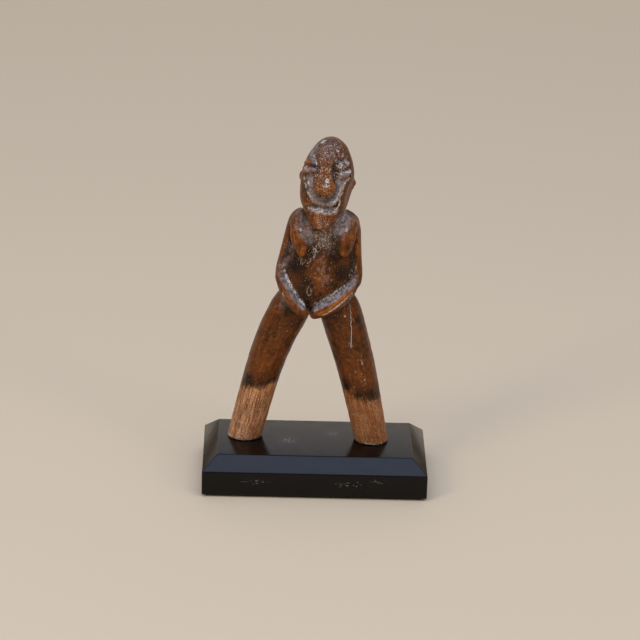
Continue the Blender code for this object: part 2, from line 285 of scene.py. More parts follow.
def add_limb(bm, sections, squareness=2.0, roll=0.0, sides=32, rings=4):
    """Loft a closed tube through the sections. A squareness of 2 is an oval, and 4 nearly a box."""
    count = (len(sections) - 1) * rings + 1
    places = [between(sections, k / rings) for k in range(count)]
    loops = []
    for k, (x, y, z, half_width, half_depth) in enumerate(places):
        before, after = places[max(0, k - 1)], places[min(count - 1, k + 1)]
        along = (Vector(after[:3]) - Vector(before[:3])).normalized()
        side = along.cross(Vector((0.0, 1.0, 0.0))).normalized()
        turn = Matrix((side, side.cross(along), along)).transposed().to_4x4()
        ring = bmesh.ops.create_circle(bm, segments=sides, radius=1.0)["verts"]
        for vert in ring:
            spread = abs(vert.co.x) ** squareness + abs(vert.co.y) ** squareness
            vert.co /= spread ** (1 / squareness)
        place = Matrix.Translation(Vector((x, y, z)) * MM) @ turn
        size = Matrix.Diagonal((half_width * MM, half_depth * MM, 1.0, 1.0))
        spin = Matrix.Rotation(radians(roll), 4, "Z")
        bmesh.ops.transform(bm, matrix=place @ size @ spin, verts=ring)
        loops.append(ring)
    for lower, upper in zip(loops, loops[1:]):
        rims = {e for v in (*lower, *upper) for e in v.link_edges}
        ends = [e for e in rims if (e.verts[0] in lower) == (e.verts[1] in lower)]
        fresh = [e for e in ends if len(e.link_faces) == 0 or set(e.verts) <= set(lower)]
        bmesh.ops.bridge_loops(bm, edges=fresh)
    for ring in (loops[0], loops[-1]):
        bmesh.ops.contextual_create(bm, geom=ring)


def add_lump(bm, middle, half_sizes):
    """A rounded lump, in millimetres."""
    size = Matrix.Diagonal((*[v * MM for v in half_sizes], 1.0))
    matrix = Matrix.Translation(Vector(middle) * MM) @ size
    bmesh.ops.create_icosphere(bm, subdivisions=3, radius=1.0, matrix=matrix)


print("middle of the trunk, mm:", [round(v, 1) for v in between(TRUNK, len(TRUNK) / 2)])

# %% Put the masses together
HEAD_TURN = -6.0
NECK_AXIS = Vector((1.9, 0.0, 0.0)) * MM
# The lumps of the head are the eyes and the ears. Those of the body are the joined hands, three for
# the chest, two for the shoulders and two for the buttocks. Each is its middle and its half sizes.
HEAD_LUMPS = [
    ((-8.4, -9.2, 177.6), (3.7, 3.0, 4.8)), ((10.2, -8.8, 175.4), (4.3, 3.2, 4.8)),
    ((-12.9, 1.4, 169.4), (1.7, 1.9, 3.0)), ((14.3, 1.4, 166.2), (1.9, 2.0, 2.9)),
]
BODY_LUMPS = [
    ((-2.6, -14.8, 98.2), (2.5, 2.3, 2.2)),
    ((8.8, -4.0, 147.2), (6.6, 6.6, 6.2)), ((-6.4, -4.0, 147.2), (6.2, 6.6, 6.2)),
    ((1.2, -5.6, 141.0), (10.5, 6.7, 9.5)),
    ((-12.2, -3.6, 146.6), (4.5, 5.2, 5.0)), ((14.9, -3.6, 146.0), (4.6, 5.2, 4.8)),
    ((-7.6, 7.2, 101.0), (8.4, 6.2, 9.0)), ((6.4, 7.2, 101.0), (8.4, 6.2, 9.0)),
]

rough = bmesh.new()
add_limb(rough, HEAD, squareness=2.15)
add_limb(rough, NOSE, squareness=2.3)
for middle, half_sizes in HEAD_LUMPS:
    add_lump(rough, middle, half_sizes)
head_turn = Matrix.Translation(NECK_AXIS) @ Matrix.Rotation(radians(HEAD_TURN), 4, "Z")
bmesh.ops.transform(rough, matrix=head_turn, verts=rough.verts)
for limbs, squareness, roll in ((OVALS, 2.1, 0.0), (UPPER_ARMS, 2.6, 0.0), (FOREARMS, 3.4, 45.0)):
    for limb in limbs:
        add_limb(rough, limb, squareness, roll)
for middle, half_sizes in BODY_LUMPS:
    add_lump(rough, middle, half_sizes)
bmesh.ops.recalc_face_normals(rough, faces=rough.faces)
print("rough faces:", len(rough.faces))

# %% Melt them into one skin
VOXEL = 0.57

rough_mesh = bpy.data.meshes.new("rough_doll")
rough.to_mesh(rough_mesh)
rough.free()
rough_doll = placed("rough_doll", rough_mesh)
melt = rough_doll.modifiers.new("melt", "REMESH")
melt.mode = "VOXEL"
melt.voxel_size = VOXEL * MM
melt.adaptivity = 0.0
melted = bpy.data.meshes.new_from_object(
    rough_doll.evaluated_get(bpy.context.evaluated_depsgraph_get())
)
bpy.data.objects.remove(rough_doll, do_unlink=True)
print("skin:", len(melted.vertices), "points,", len(melted.polygons), "faces")

# %% Keep only the outer shell
# Where several masses meet, the remesh can close round a tiny bubble, which would be a stray piece.
shell_bm = bmesh.new()
shell_bm.from_mesh(melted)
outer, growing = set(), {max(shell_bm.verts, key=lambda v: v.co.z)}
while growing:
    outer |= growing
    growing = {e.other_vert(v) for v in growing for e in v.link_edges} - outer
bubbles = [v for v in shell_bm.verts if v not in outer]
bmesh.ops.delete(shell_bm, geom=bubbles, context="VERTS")
shell_bm.to_mesh(melted)
shell_bm.free()
print("points of trapped bubbles removed:", len(bubbles))

# %% [markdown]
# ## Tools of the carver
#
# The knife work comes next. The skin's points go into arrays, and each tool below moves the ones
# near a path drawn on the surface. `groove` presses a rounded or V-shaped channel, and lifts a
# ridge when its depth is negative. `ledge` is the cut that gives this doll its look: the knife goes
# straight in along a line and then slopes back out to one side. All sizes are in millimetres.


# %% The skin as arrays
def column(collection, name, size, kind=float):
    """One property of a whole mesh collection as an array."""
    values = np.empty(len(collection) * size, dtype=kind)
    collection.foreach_get(name, values)
    return values.reshape(-1, size)


skin = column(melted.vertices, "co", 3) / MM
quads = column(melted.loops, "vertex_index", 1, int).reshape(-1, 4)
edges = column(melted.edges, "vertices", 2, int)
joins = np.bincount(edges.ravel(), minlength=len(skin))


def gather(index, values):
    """Add the values up at the points that the index names."""
    return np.stack([np.bincount(index, v, minlength=len(skin)) for v in values.T], axis=1)


def relaxed(values, rounds, step=0.5):
    """Each point's value moved towards the mean of its neighbours, several times."""
    for _ in range(rounds):
        around = gather(edges[:, 0], values[edges[:, 1]]) + gather(edges[:, 1], values[edges[:, 0]])
        values = values + step * (around / joins[:, None] - values)
    return values


def facing(points):
    """The outward direction at every point."""
    across = np.cross(
        points[quads[:, 2]] - points[quads[:, 0]], points[quads[:, 3]] - points[quads[:, 1]]
    )
    total = sum(gather(quads[:, k], across) for k in range(4))
    return total / np.maximum(np.linalg.norm(total, axis=1, keepdims=True), 1e-9)


FIRST_SMOOTHING = 4
skin = relaxed(skin, FIRST_SMOOTHING)
outward = facing(skin)
print("points joined to four others:", int((joins == 4).sum()), "of", len(skin))


# %% Where points lie along a path
def smooth_path(path, steps=6):
    """A finer path on a smooth curve through the given points, with a strength for each."""
    full = [(*p, 1.0)[:4] for p in path]
    count = (len(full) - 1) * steps
    return np.array([between(full, k / steps) for k in range(count + 1)])


def near(path, reach):
    """The points within reach of a path: which, how far, on which side, and the path's strength.

    The side is positive to the left of the path's travel, seen from outside the surface.
    """
    line = smooth_path(path)
    places, strength = line[:, :3], line[:, 3]
    inside = ((skin > places.min(0) - reach) & (skin < places.max(0) + reach)).all(1)
    which = np.nonzero(inside)[0]
    best = np.full(len(which), 1e9)
    side, power = np.zeros(len(which)), np.zeros(len(which))
    for k in range(len(line) - 1):
        start, leg = places[k], places[k + 1] - places[k]
        offset = skin[which] - start
        t = np.clip(offset @ leg / max(leg @ leg, 1e-9), 0.0, 1.0)
        offset = offset - t[:, None] * leg
        gap = np.linalg.norm(offset, axis=1)
        closer = gap < best
        best[closer] = gap[closer]
        left = np.cross(outward[which], leg / max(np.linalg.norm(leg), 1e-9))
        side[closer] = (offset * left).sum(1)[closer]
        power[closer] = (strength[k] + t * (strength[k + 1] - strength[k]))[closer]
    kept = best < reach
    return which[kept], best[kept], side[kept], power[kept]


print("points within 4 mm of the nose's middle:", len(near([s[:3] for s in NOSE], 4.0)[0]))


# %% Groove, ledge, swelling and flat
def groove(path, width, depth, sharp=1.0):
    """Press in a channel this wide and deep, or lift a ridge where the depth is negative."""
    which, gap, _, power = near(path, width)
    fall = (1.0 - (gap / width) ** (2.0 / sharp)) ** 2
    skin[which] -= outward[which] * (depth * power * fall)[:, None]


def ledge(path, reach, depth, lip=0.5):
    """Cut straight in along a path and slope back out on its right-hand side."""
    which, gap, side, power = near(path, reach)
    away = -side
    step = np.clip((away + lip) / lip, 0.0, 1.0)
    step = step * step * (3.0 - 2.0 * step)
    slope = np.clip(1.0 - np.maximum(away, 0.0) / (reach * np.maximum(power, 0.2)), 0.0, 1.0)
    ends = np.clip(2.0 - 2.0 * gap / reach, 0.0, 1.0)
    skin[which] -= outward[which] * (depth * power * step * slope * ends)[:, None]


def swell(middle, radius, height):
    """Raise a soft mound, or sink a hollow where the height is negative."""
    gap = np.linalg.norm(skin - np.array(middle), axis=1) / radius
    which = gap < 1.0
    skin[which] += outward[which] * (height * (1.0 - gap[which] ** 2) ** 2)[:, None]


def flat(middle, normal, radius, strength=0.8):
    """Shave what stands proud of a plane, as one stroke of a knife does."""
    normal = np.array(normal) / np.linalg.norm(normal)
    offset = skin - np.array(middle)
    proud = offset @ normal
    fade = np.clip(2.0 - 2.0 * np.linalg.norm(offset, axis=1) / radius, 0.0, 1.0)
    cut = np.where((proud > 0.0) & (outward @ normal > 0.3), proud * fade * strength, 0.0)
    skin[:] -= cut[:, None] * normal


def settle(rounds=1):
    """Even out the skin a little after some cuts, and find its directions again."""
    global skin, outward
    skin = relaxed(skin, rounds, 0.35)
    outward = facing(skin)


print("tools ready")

# %% [markdown]
# ## The head
#
# The forehead runs down in one band into a heavy, rounded nose. A deep U-shaped step is cut round
# the nose and meets the cheeks in a crisp line. Each eye is two thick slabs, one above the other,
# with a sloping cut under each. The mouth is a notch whose upper lip hangs over a wide lower lip.
# Nearly every feature is the same cut, so `ledge` makes nearly all of them.

# %% Forehead, nose and cheeks
NOSE_LEFT = [
    (-3.4, -8.6, 187.6, 0.25), (-2.6, -11.6, 185.0, 0.55), (-2.2, -13.5, 182.6, 0.75),
    (-2.4, -14.8, 179.8, 0.85), (-2.8, -15.7, 176.8, 0.9), (-3.7, -16.2, 173.8, 1.0),
    (-4.5, -16.9, 170.8, 1.0), (-4.4, -17.0, 167.9, 1.1), (-3.0, -16.4, 165.0, 1.3),
    (-0.8, -16.4, 163.9, 1.4), (1.5, -16.4, 163.4, 1.4),
]
NOSE_RIGHT = [
    (1.5, -16.4, 163.4, 1.4), (3.2, -16.2, 163.8, 1.4), (5.1, -15.9, 165.1, 1.3),
    (6.2, -15.8, 167.3, 1.1), (6.5, -15.8, 170.0, 1.0), (5.7, -16.0, 173.3, 1.0),
    (5.2, -15.9, 176.5, 0.9), (5.1, -15.2, 179.6, 0.85), (5.6, -13.9, 182.4, 0.75),
    (6.0, -12.0, 185.2, 0.55), (6.6, -9.0, 187.8, 0.25),
]
ledge(NOSE_LEFT + NOSE_RIGHT[1:], 3.9, 1.8, lip=0.35)
settle()
CHEEK_LEFT = [
    (-9.9, -7.4, 173.6, 0.5), (-9.3, -9.0, 171.1, 1.0), (-8.6, -10.9, 168.5, 1.0),
    (-7.5, -12.3, 165.7, 1.0), (-5.7, -13.6, 163.2, 1.0), (-3.6, -14.7, 161.4, 1.0),
    (-1.3, -15.5, 160.4, 1.0), (1.3, -15.8, 160.0, 1.0), (3.9, -15.7, 160.3, 0.8),
]
CHEEK_RIGHT = [
    (14.6, -10.6, 174.8, 0.6), (12.4, -12.0, 172.1, 1.0), (10.4, -13.1, 170.0, 1.0),
    (9.0, -14.2, 167.8, 1.0), (8.2, -14.6, 165.1, 1.0), (7.3, -14.8, 162.6, 0.9),
    (5.6, -15.2, 161.0, 0.7),
]
groove(CHEEK_LEFT, 1.5, -0.75)
groove(CHEEK_RIGHT, 1.5, -0.75)
flat((-13.2, -4.0, 163.0), (-0.93, -0.32, -0.18), 9.0)
flat((13.6, -4.6, 163.0), (0.90, -0.40, -0.18), 9.0)
settle()
print("nose and cheeks cut")

# %% Eyes and ears
EYE_RIM_LEFT = [
    (-6.4, -4.6, 183.8, 0.4), (-4.6, -7.4, 183.2), (-3.6, -9.6, 181.4), (-3.5, -11.2, 179.4),
    (-4.2, -11.8, 176.8), (-5.6, -12.0, 174.6, 0.5),
]
EYE_RIM_RIGHT = [
    (6.6, -13.6, 174.6, 0.5), (6.0, -13.8, 177.4), (6.2, -13.4, 179.8), (7.4, -11.8, 181.8),
    (9.2, -10.0, 182.9), (11.2, -8.4, 183.0), (13.2, -6.6, 181.6, 0.6),
]
UPPER_LID_LEFT = [
    (-4.7, -10.9, 179.3, 0.6), (-6.3, -11.1, 179.7), (-8.2, -10.8, 180.0), (-10.4, -8.8, 180.1),
    (-11.4, -6.0, 179.6, 0.6),
]
LOWER_LID_LEFT = [
    (-5.0, -11.8, 175.4, 0.6), (-6.6, -11.4, 175.1), (-8.6, -10.7, 174.9), (-10.5, -8.6, 174.3),
    (-11.4, -5.4, 173.8, 0.6),
]
UPPER_LID_RIGHT = [
    (14.9, -8.0, 179.6, 0.6), (13.4, -10.4, 178.9), (11.6, -12.0, 178.3), (9.6, -12.6, 178.1),
    (7.6, -13.2, 178.2, 0.6),
]
LOWER_LID_RIGHT = [
    (15.2, -9.8, 176.3, 0.6), (13.6, -12.3, 174.4), (11.4, -12.9, 173.0), (9.2, -13.4, 172.9, 0.7),
]

for rim in (EYE_RIM_LEFT, EYE_RIM_RIGHT):
    groove(rim, 1.7, 0.9)
for lid in (UPPER_LID_LEFT, UPPER_LID_RIGHT):
    ledge(lid[::-1], 2.9, 1.5, lip=0.4)
for lid in (LOWER_LID_LEFT, LOWER_LID_RIGHT):
    ledge(lid[::-1], 2.3, 1.3, lip=0.4)
settle()
swell((10.7, -12.0, 179.4), 1.3, 0.45)
for ear, way in (((-12.0, -0.6, 169.4), -1.0), ((16.6, -1.6, 166.9), 1.0)):
    x, y, z = ear
    ledge([(x, y + 2.2 * way, z - 2.2), (x, y - 2.2 * way, z - 2.2)], 1.6, 0.6)
print("eyes and ears cut")

# %% Mouth and chin
MOUTH = [
    (-9.6, -9.4, 156.7, 0.25), (-7.4, -12.6, 158.1, 0.6), (-4.9, -14.3, 159.0, 0.9),
    (-2.3, -15.3, 159.2, 1.0), (0.3, -15.8, 159.1, 1.0), (2.9, -15.9, 158.7, 1.0),
    (5.0, -15.7, 157.8, 0.9), (7.0, -15.1, 156.5, 0.4),
]
LOWER_LIP = [
    (-9.2, -9.6, 156.1, 0.3), (-6.9, -13.0, 155.9, 0.8), (-4.3, -14.6, 155.4, 1.0),
    (-1.1, -15.6, 155.0, 1.0), (2.0, -15.9, 154.9, 1.0), (4.6, -15.5, 155.2, 0.9),
    (6.9, -14.8, 156.0, 0.4),
]
ledge(MOUTH, 3.9, 2.0, lip=0.4)
groove(LOWER_LIP, 1.4, -0.55)
settle()
flat((0.8, -15.2, 150.6), (0.05, -0.97, -0.22), 8.0, 0.7)
flat((0.8, -12.0, 144.9), (0.0, -0.25, -0.97), 6.0, 0.6)
MOUTH_NICKS = [
    [(7.4, -14.8, 161.7, 0.5), (6.9, -15.0, 159.9), (6.4, -15.3, 158.0, 0.5)],
    [
        (8.9, -14.1, 162.1, 0.4), (8.6, -14.2, 159.6), (7.9, -14.6, 157.5), (7.1, -14.9, 155.2),
        (6.9, -14.8, 152.7, 0.3),
    ],
    [(5.5, -15.4, 160.5, 0.6), (5.9, -15.4, 158.9), (7.1, -14.9, 157.4, 0.5)],
]
for nick in MOUTH_NICKS:
    groove(nick, 0.8, 0.55)
settle()
print("mouth and chin cut")

# %% [markdown]
# ## Trunk, arms and hands
#
# The arms are left joined to the body along their inner sides, and a V-cut shows where one ends and
# the other begins. The forearms are squared, with one face up and one face forward. The hands are
# plain stubs that meet over the crotch with a small hole between them.

# %% Cuts on the trunk
ARMPIT_LEFT = [
    (-16.3, -5.0, 143.4, 0.4), (-15.9, -5.4, 139.4), (-16.5, -5.4, 134.8), (-17.8, -5.2, 130.4),
    (-19.0, -5.3, 126.6), (-20.0, -5.5, 123.4, 0.6),
]
ARMPIT_RIGHT = [
    (18.4, -8.6, 143.0, 0.4), (18.0, -6.2, 138.8), (17.2, -5.6, 134.0), (16.9, -5.8, 128.6),
    (17.6, -6.0, 124.0, 0.7),
]
INSIDE_LEFT_ARM = [
    (-20.2, -5.6, 123.4, 0.6), (-18.9, -6.3, 119.8), (-17.0, -7.4, 116.0), (-14.9, -9.9, 112.4),
    (-12.2, -11.9, 108.5), (-9.2, -13.1, 105.0), (-6.7, -13.7, 102.6, 0.8),
]
INSIDE_RIGHT_ARM = [
    (18.9, -5.9, 122.4, 0.6), (17.9, -6.8, 118.8), (15.8, -8.6, 115.6), (13.0, -10.2, 113.2),
    (9.6, -12.1, 111.4), (6.0, -13.4, 109.0), (1.8, -13.9, 106.5), (-2.3, -13.6, 104.2, 0.8),
]
UNDER_RIGHT_ARM = [
    (17.2, -10.0, 109.8, 0.5), (15.8, -11.6, 108.2), (13.2, -13.4, 106.4), (10.0, -15.0, 104.1),
    (6.7, -16.3, 101.9), (3.6, -17.0, 100.0), (1.6, -17.2, 98.8, 0.5),
]
UNDER_LEFT_ARM = [
    (-20.6, -9.0, 111.2, 0.5), (-19.2, -10.7, 109.6), (-17.1, -12.6, 106.6), (-14.9, -14.2, 103.3),
    (-12.7, -15.0, 100.0, 0.5),
]
for cut in (ARMPIT_LEFT, ARMPIT_RIGHT):
    groove(cut, 2.0, 1.3)
flat((16.0, -1.0, 149.0), (0.52, 0.0, 0.854), 8.0, 1.0)
flat((-15.2, -1.0, 149.0), (-0.78, 0.0, 0.62), 7.5, 1.0)
for cut in (INSIDE_LEFT_ARM, INSIDE_RIGHT_ARM):
    groove(cut, 1.5, 0.9, sharp=1.4)
for cut in (UNDER_RIGHT_ARM, UNDER_LEFT_ARM):
    groove(cut, 1.1, 0.5, sharp=1.4)
settle()
CREST_LEFT_ARM = [
    (-22.4, -5.0, 119.5, 0.4), (-20.8, -7.2, 115.3), (-18.1, -10.5, 112.2), (-15.0, -12.9, 108.3),
    (-11.8, -15.0, 104.4), (-9.0, -16.6, 101.6, 0.7),
]
CREST_RIGHT_ARM = [
    (20.6, -6.0, 118.0, 0.4), (18.4, -9.0, 113.8), (14.4, -11.9, 111.0), (10.0, -13.8, 108.0),
    (5.5, -15.4, 105.3), (1.4, -16.6, 103.0), (-2.4, -16.6, 101.4, 0.6),
]
for crest in (CREST_LEFT_ARM, CREST_RIGHT_ARM):
    groove(crest, 1.7, -0.75, sharp=1.3)
groove([(-6.2, -12.9, 104.2, 0.8), (-5.8, -12.9, 101.6), (-5.3, -14.2, 99.4, 0.8)], 1.5, 2.2)
groove([(-4.6, -14.6, 99.6, 0.7), (-2.8, -16.0, 99.4), (-0.6, -16.8, 99.6, 0.6)], 0.9, 0.6)
print("arms parted from the trunk")

# %% Breasts, belly and navel
BREASTS = {
    "left": (
        [
            (-16.4, -8.6, 145.0, 0.5), (-15.4, -11.4, 141.1), (-14.4, -12.8, 137.8),
            (-13.1, -13.2, 134.4), (-11.6, -12.6, 131.0), (-9.8, -11.4, 129.2),
            (-7.8, -11.2, 130.6, 0.8), (-6.5, -11.2, 133.4, 0.2),
        ],
        [
            (-14.0, -8.4, 148.6, 0.4), (-12.5, -12.1, 144.6), (-10.9, -13.9, 140.8),
            (-9.2, -15.1, 136.5), (-9.2, -15.8, 133.4, 0.7),
        ],
    ),
    "right": (
        [
            (6.9, -11.2, 138.6, 0.3), (7.9, -11.2, 135.4, 0.7), (8.9, -11.0, 132.4),
            (10.6, -11.0, 130.0), (12.2, -11.2, 129.2), (13.8, -12.4, 131.4),
            (15.6, -13.2, 135.0), (17.0, -12.0, 139.4), (18.2, -10.2, 143.6, 0.5),
        ],
        [
            (14.0, -8.4, 149.6, 0.4), (12.9, -11.8, 144.8), (12.2, -13.7, 140.2),
            (11.8, -15.3, 136.3), (12.0, -15.8, 133.4, 0.7),
        ],
    ),
}
for outline, crest in BREASTS.values():
    groove(outline, 1.4, 0.6)
    groove(crest, 2.0, -0.6)
BELLY_CREST = [
    (0.9, -10.8, 133.0, 0.3), (0.3, -12.0, 127.6), (-0.2, -13.4, 122.6), (-0.5, -14.3, 117.6),
    (-0.4, -14.5, 113.0, 0.4),
]
groove(BELLY_CREST, 4.6, -1.0)
swell((-12.5, -9.0, 121.0), 8.5, -1.3)
swell((12.5, -9.0, 121.0), 8.5, -1.2)
NAVEL_RING = [
    (-5.4, -14.2, 114.4), (-6.4, -14.1, 112.8), (-6.7, -14.1, 111.0), (-6.0, -14.2, 109.4),
    (-5.2, -14.2, 109.2), (-4.5, -14.4, 110.8), (-4.7, -14.4, 112.8), (-5.4, -14.2, 114.4),
]
settle()
groove(NAVEL_RING, 0.9, -0.55)
groove([(-5.5, -14.2, 113.2, 0.8), (-5.6, -14.2, 111.6), (-5.5, -14.2, 110.2, 0.9)], 0.75, 0.9)
CHEST_SCRATCHES = [
    [(-5.4, -9.1, 143.2, 0.4), (-4.6, -9.7, 140.6), (-3.7, -10.1, 138.0, 0.4)],
    [(-2.7, -10.1, 139.7, 0.5), (-1.1, -10.4, 137.6, 0.5)],
    [(5.1, -9.9, 140.9, 0.5), (6.0, -10.1, 137.1), (7.3, -9.9, 133.2, 0.4)],
    [(-3.6, -10.6, 136.0, 0.4), (-2.6, -10.9, 133.4, 0.6), (-3.4, -11.2, 131.0, 0.4)],
]
for scratch in CHEST_SCRATCHES:
    groove(scratch, 0.7, 0.3)
settle()
print("breasts, belly and navel cut")

# %% [markdown]
# ## The back
#
# The back is plain on such dolls: a shallow channel down the spine, a cleft between the buttocks,
# and a flat nape under the swell of the skull. A sculpting brush could do this too. The same groove
# as on the front is used instead, with a wider reach, so both sides show the same hand.

# %% Cuts on the back
SPINE = [(1.4, 10.6, 148.0, 0.4), (1.2, 11.4, 138.0), (0.5, 11.8, 126.0), (-0.4, 13.0, 114.0, 0.6)]
CLEFT = [(-0.6, 14.0, 110.0, 0.5), (-0.6, 14.6, 104.0), (-0.8, 12.8, 97.0), (-1.2, 9.0, 94.0, 0.7)]
groove(SPINE, 4.4, 1.1)
groove(CLEFT, 2.2, 1.7)
for x in (-1.0, 1.0):
    behind_arm = [
        (1.4 + 13.4 * x, 6.6, 147.0, 0.3), (0.6 + 14.6 * x, 6.2, 137.0),
        (-0.4 + 16.6 * x, 5.6, 124.0, 0.6),
    ]
    groove(behind_arm, 2.0, 0.9)
    swell((1.0 + 7.0 * x, 10.6, 141.0), 7.0, 0.6)
settle()
print("back cut")

# %% [markdown]
# ## Knife facets, wear and the sawn feet
#
# No carved surface is perfectly smooth. Long shallow facets run down the legs, and the whole doll
# has a slight unevenness that handling has rounded over. Both come from smooth noise, stretched
# along the grain. A longitudinal drying crack opens on the front of one thigh.

# %% Fibre coordinates
LEG_TOP = 96.0


def leg_middle(sections, heights):
    """How far along X and Y a leg's middle lies at each height."""
    table = np.array(sections)
    return [np.interp(heights, table[:, 2], table[:, k]) for k in (0, 1)]


def grain_coordinates():
    """Place within the wood, in millimetres, with each leg's lean taken out below the crotch."""
    found = skin.copy()
    rise = np.clip((LEG_TOP - skin[:, 2]) / 20.0, 0.0, 1.0)
    for sections, leg in ((LEFT_LEG, skin[:, 0] < -2.0), (RIGHT_LEG, skin[:, 0] >= -2.0)):
        x, y = leg_middle(sections, skin[:, 2])
        top_x, top_y = leg_middle(sections, np.full(len(skin), LEG_TOP))
        below = leg & (skin[:, 2] < LEG_TOP)
        found[below, 0] -= (x - top_x)[below]
        found[below, 1] -= (y - top_y)[below]
    return found, rise


fibre, on_leg = grain_coordinates()
print("points on the legs:", int((on_leg > 0).sum()))

# %% Unevenness and the crack
FACET_WIDTH, FACET_LENGTH, FACET_DEPTH = 6.0, 34.0, 0.30
DENT_SIZE, DENT_DEPTH = 4.0, 0.16
DENT_SHIFT = Vector((3.1, 7.7, 1.3))
CHIN_HEIGHT = 150.0

facets = np.array(
    [noise.noise(Vector((x / FACET_WIDTH, y / FACET_WIDTH, z / FACET_LENGTH))) for x, y, z in fibre]
)
dents = np.array([noise.noise(Vector(p) / DENT_SIZE + DENT_SHIFT) for p in fibre])
on_head = np.clip((skin[:, 2] - CHIN_HEIGHT) / 6.0, 0.0, 1.0)
depth = FACET_DEPTH * facets * (0.4 + 0.6 * on_leg) * (1.0 - 0.6 * on_head) + DENT_DEPTH * dents
skin += outward * depth[:, None]
CRACK = [
    (16.5, -10.4, 107.2, 0.4), (16.8, -8.6, 101.7), (17.0, -9.3, 96.7), (17.2, -9.8, 91.3),
    (17.5, -10.0, 85.7), (17.4, -10.1, 79.0, 0.3),
]
groove(CRACK, 0.7, 0.5)
HIP_NICKS = [
    [(-20.3, -9.3, 110.8, 0.6), (-19.5, -10.3, 108.1), (-18.6, -10.5, 104.8, 0.3)],
    [(17.4, -9.6, 108.6, 0.6), (16.9, -10.2, 106.4, 0.8), (15.6, -11.2, 105.0, 0.3)],
]
for nick in HIP_NICKS:
    groove(nick, 0.9, 0.45)
settle()
print("facets and crack made")

# %% [markdown]
# ## Where the finish changes
#
# The colour of old wood follows its shape. Dust and grease stay in the cuts, hands polish the high
# places back to orange, and the feet, which stood in a socket or in the ground, are bare. So the
# script measures the shape first: a point that lies below the average of its neighbours is in a
# hollow, and one above it is on an edge. A few places are marked along the same paths that the
# knife took. Each mark is stored as an attribute of the mesh, for the material to read.


# %% Hollows and edges
def height_above_mean(rounds):
    """How far each point stands out from the smoothed skin: below zero in a hollow."""
    return ((skin - relaxed(skin, rounds)) * outward).sum(1)


# The heights, in millimetres, at which a fine or a broad hollow or edge counts in full.
FINE_HOLLOW, BROAD_HOLLOW, FINE_EDGE, BROAD_EDGE = 0.07, 0.5, 0.06, 0.7
EACH = 0.6
fine, broad = height_above_mean(5), height_above_mean(60)
hollow = np.clip(-fine / FINE_HOLLOW, 0.0, 1.0) + np.clip(-broad / BROAD_HOLLOW, 0.0, 1.0)
edge = np.clip(fine / FINE_EDGE, 0.0, 1.0) + np.clip(broad / BROAD_EDGE - 0.1, 0.0, 1.0)
hollow, edge = EACH * hollow, EACH * edge
print("hollow mean", round(float(hollow.mean()), 3), "edge mean", round(float(edge.mean()), 3))


# %% Marks along paths and round places
def touched(paths, width, sharp=1.0):
    """A mark from 0 to 1 along some paths."""
    mark = np.zeros(len(skin))
    for path in paths:
        which, gap, _, power = near(path, width)
        mark[which] = np.maximum(mark[which], power * (1.0 - (gap / width) ** (2.0 / sharp)))
    return np.clip(mark, 0.0, 1.0)


def patch(places):
    """A mark from 0 to 1 round some places, each given as x, y, z, radius and strength."""
    mark = np.zeros(len(skin))
    for x, y, z, radius, strength in places:
        gap = np.linalg.norm(skin - (x, y, z), axis=1) / radius
        mark = np.maximum(mark, strength * np.clip(1.0 - gap, 0.0, 1.0) ** 0.7)
    return np.clip(mark, 0.0, 1.0)


def halfway(first, second, share=0.5):
    """A path that runs between two others."""
    a, b = smooth_path(first)[:, :3], smooth_path(second)[:, :3]
    count = min(len(a), len(b))
    pick = [np.linspace(0, len(p) - 1, count).astype(int) for p in (a, b)]
    return [tuple(v) for v in (1 - share) * a[pick[0]] + share * b[pick[1]]][::4]


def strongest(*marks):
    """The strongest of several marks at each point."""
    return np.maximum.reduce(marks)


print("points touched by the crack:", int((touched([CRACK], 1.0) > 0).sum()))

# %% Grey film and painted sheen
# Skin grease and fine dust dry to a grey-blue film on every plane that looks up. The same grey
# also paints the sheen of the cool light overhead on those planes, and painted highlights on the
# belly crest, the chin and the crown.
ARM_TOPS = [
    [(*place, min(1.0, 0.3 + 0.22 * k)) for k, place in enumerate(path)]
    for path in (
        halfway(INSIDE_LEFT_ARM, CREST_LEFT_ARM),
        halfway(INSIDE_RIGHT_ARM, CREST_RIGHT_ARM, 0.55),
    )
]
NOSE_GROOVE = [
    halfway(NOSE_LEFT[4:], CHEEK_LEFT[1:8], 0.62),
    halfway(NOSE_RIGHT[:7], CHEEK_RIGHT[::-1], 0.62),
]
MOUTH_SHELF = [
    [(*place, min(1.0, 0.1 + 0.2 * k)) for k, place in enumerate(halfway(MOUTH, LOWER_LIP, 0.55))]
]
EYE_DUST_AND_SHEEN = [
    (9.2, -11.3, 179.8, 2.7, 1.0), (12.6, -7.4, 181.2, 3.0, 1.0), (9.4, -12.4, 176.1, 2.4, 1.0),
    (11.6, -12.2, 176.5, 2.4, 1.0), (13.5, -11.2, 177.3, 2.0, 1.0), (-6.6, -2.6, 183.6, 2.8, 0.9),
    (-5.2, -5.8, 183.1, 2.4, 1.0), (-4.4, -9.2, 181.1, 2.2, 0.9), (-8.4, -10.4, 178.1, 2.6, 1.0),
    (-5.6, -10.8, 177.7, 1.8, 0.8), (10.0, -8.0, 184.4, 2.4, 0.7), (6.6, -11.0, 183.0, 2.2, 0.6),
]
SHOULDER_DUST_AND_SHEEN = [
    (-12.9, -3.9, 151.7, 6.5, 0.35), (-10.8, -8.4, 150.0, 7.0, 0.35),
    (-9.0, -10.9, 146.6, 6.0, 0.5), (-7.6, -12.1, 143.2, 5.6, 0.7), (-6.0, -12.2, 140.0, 5.0, 0.7),
    (11.6, -7.0, 152.3, 6.6, 0.65), (9.5, -9.0, 149.6, 7.0, 0.8), (8.4, -10.2, 146.1, 6.5, 0.85),
    (12.0, -9.8, 148.4, 6.0, 0.75), (14.6, -7.0, 150.0, 6.0, 0.45), (9.4, -11.4, 142.6, 5.0, 0.6),
    (-12.5, -9.6, 146.0, 6.0, 0.3),
]
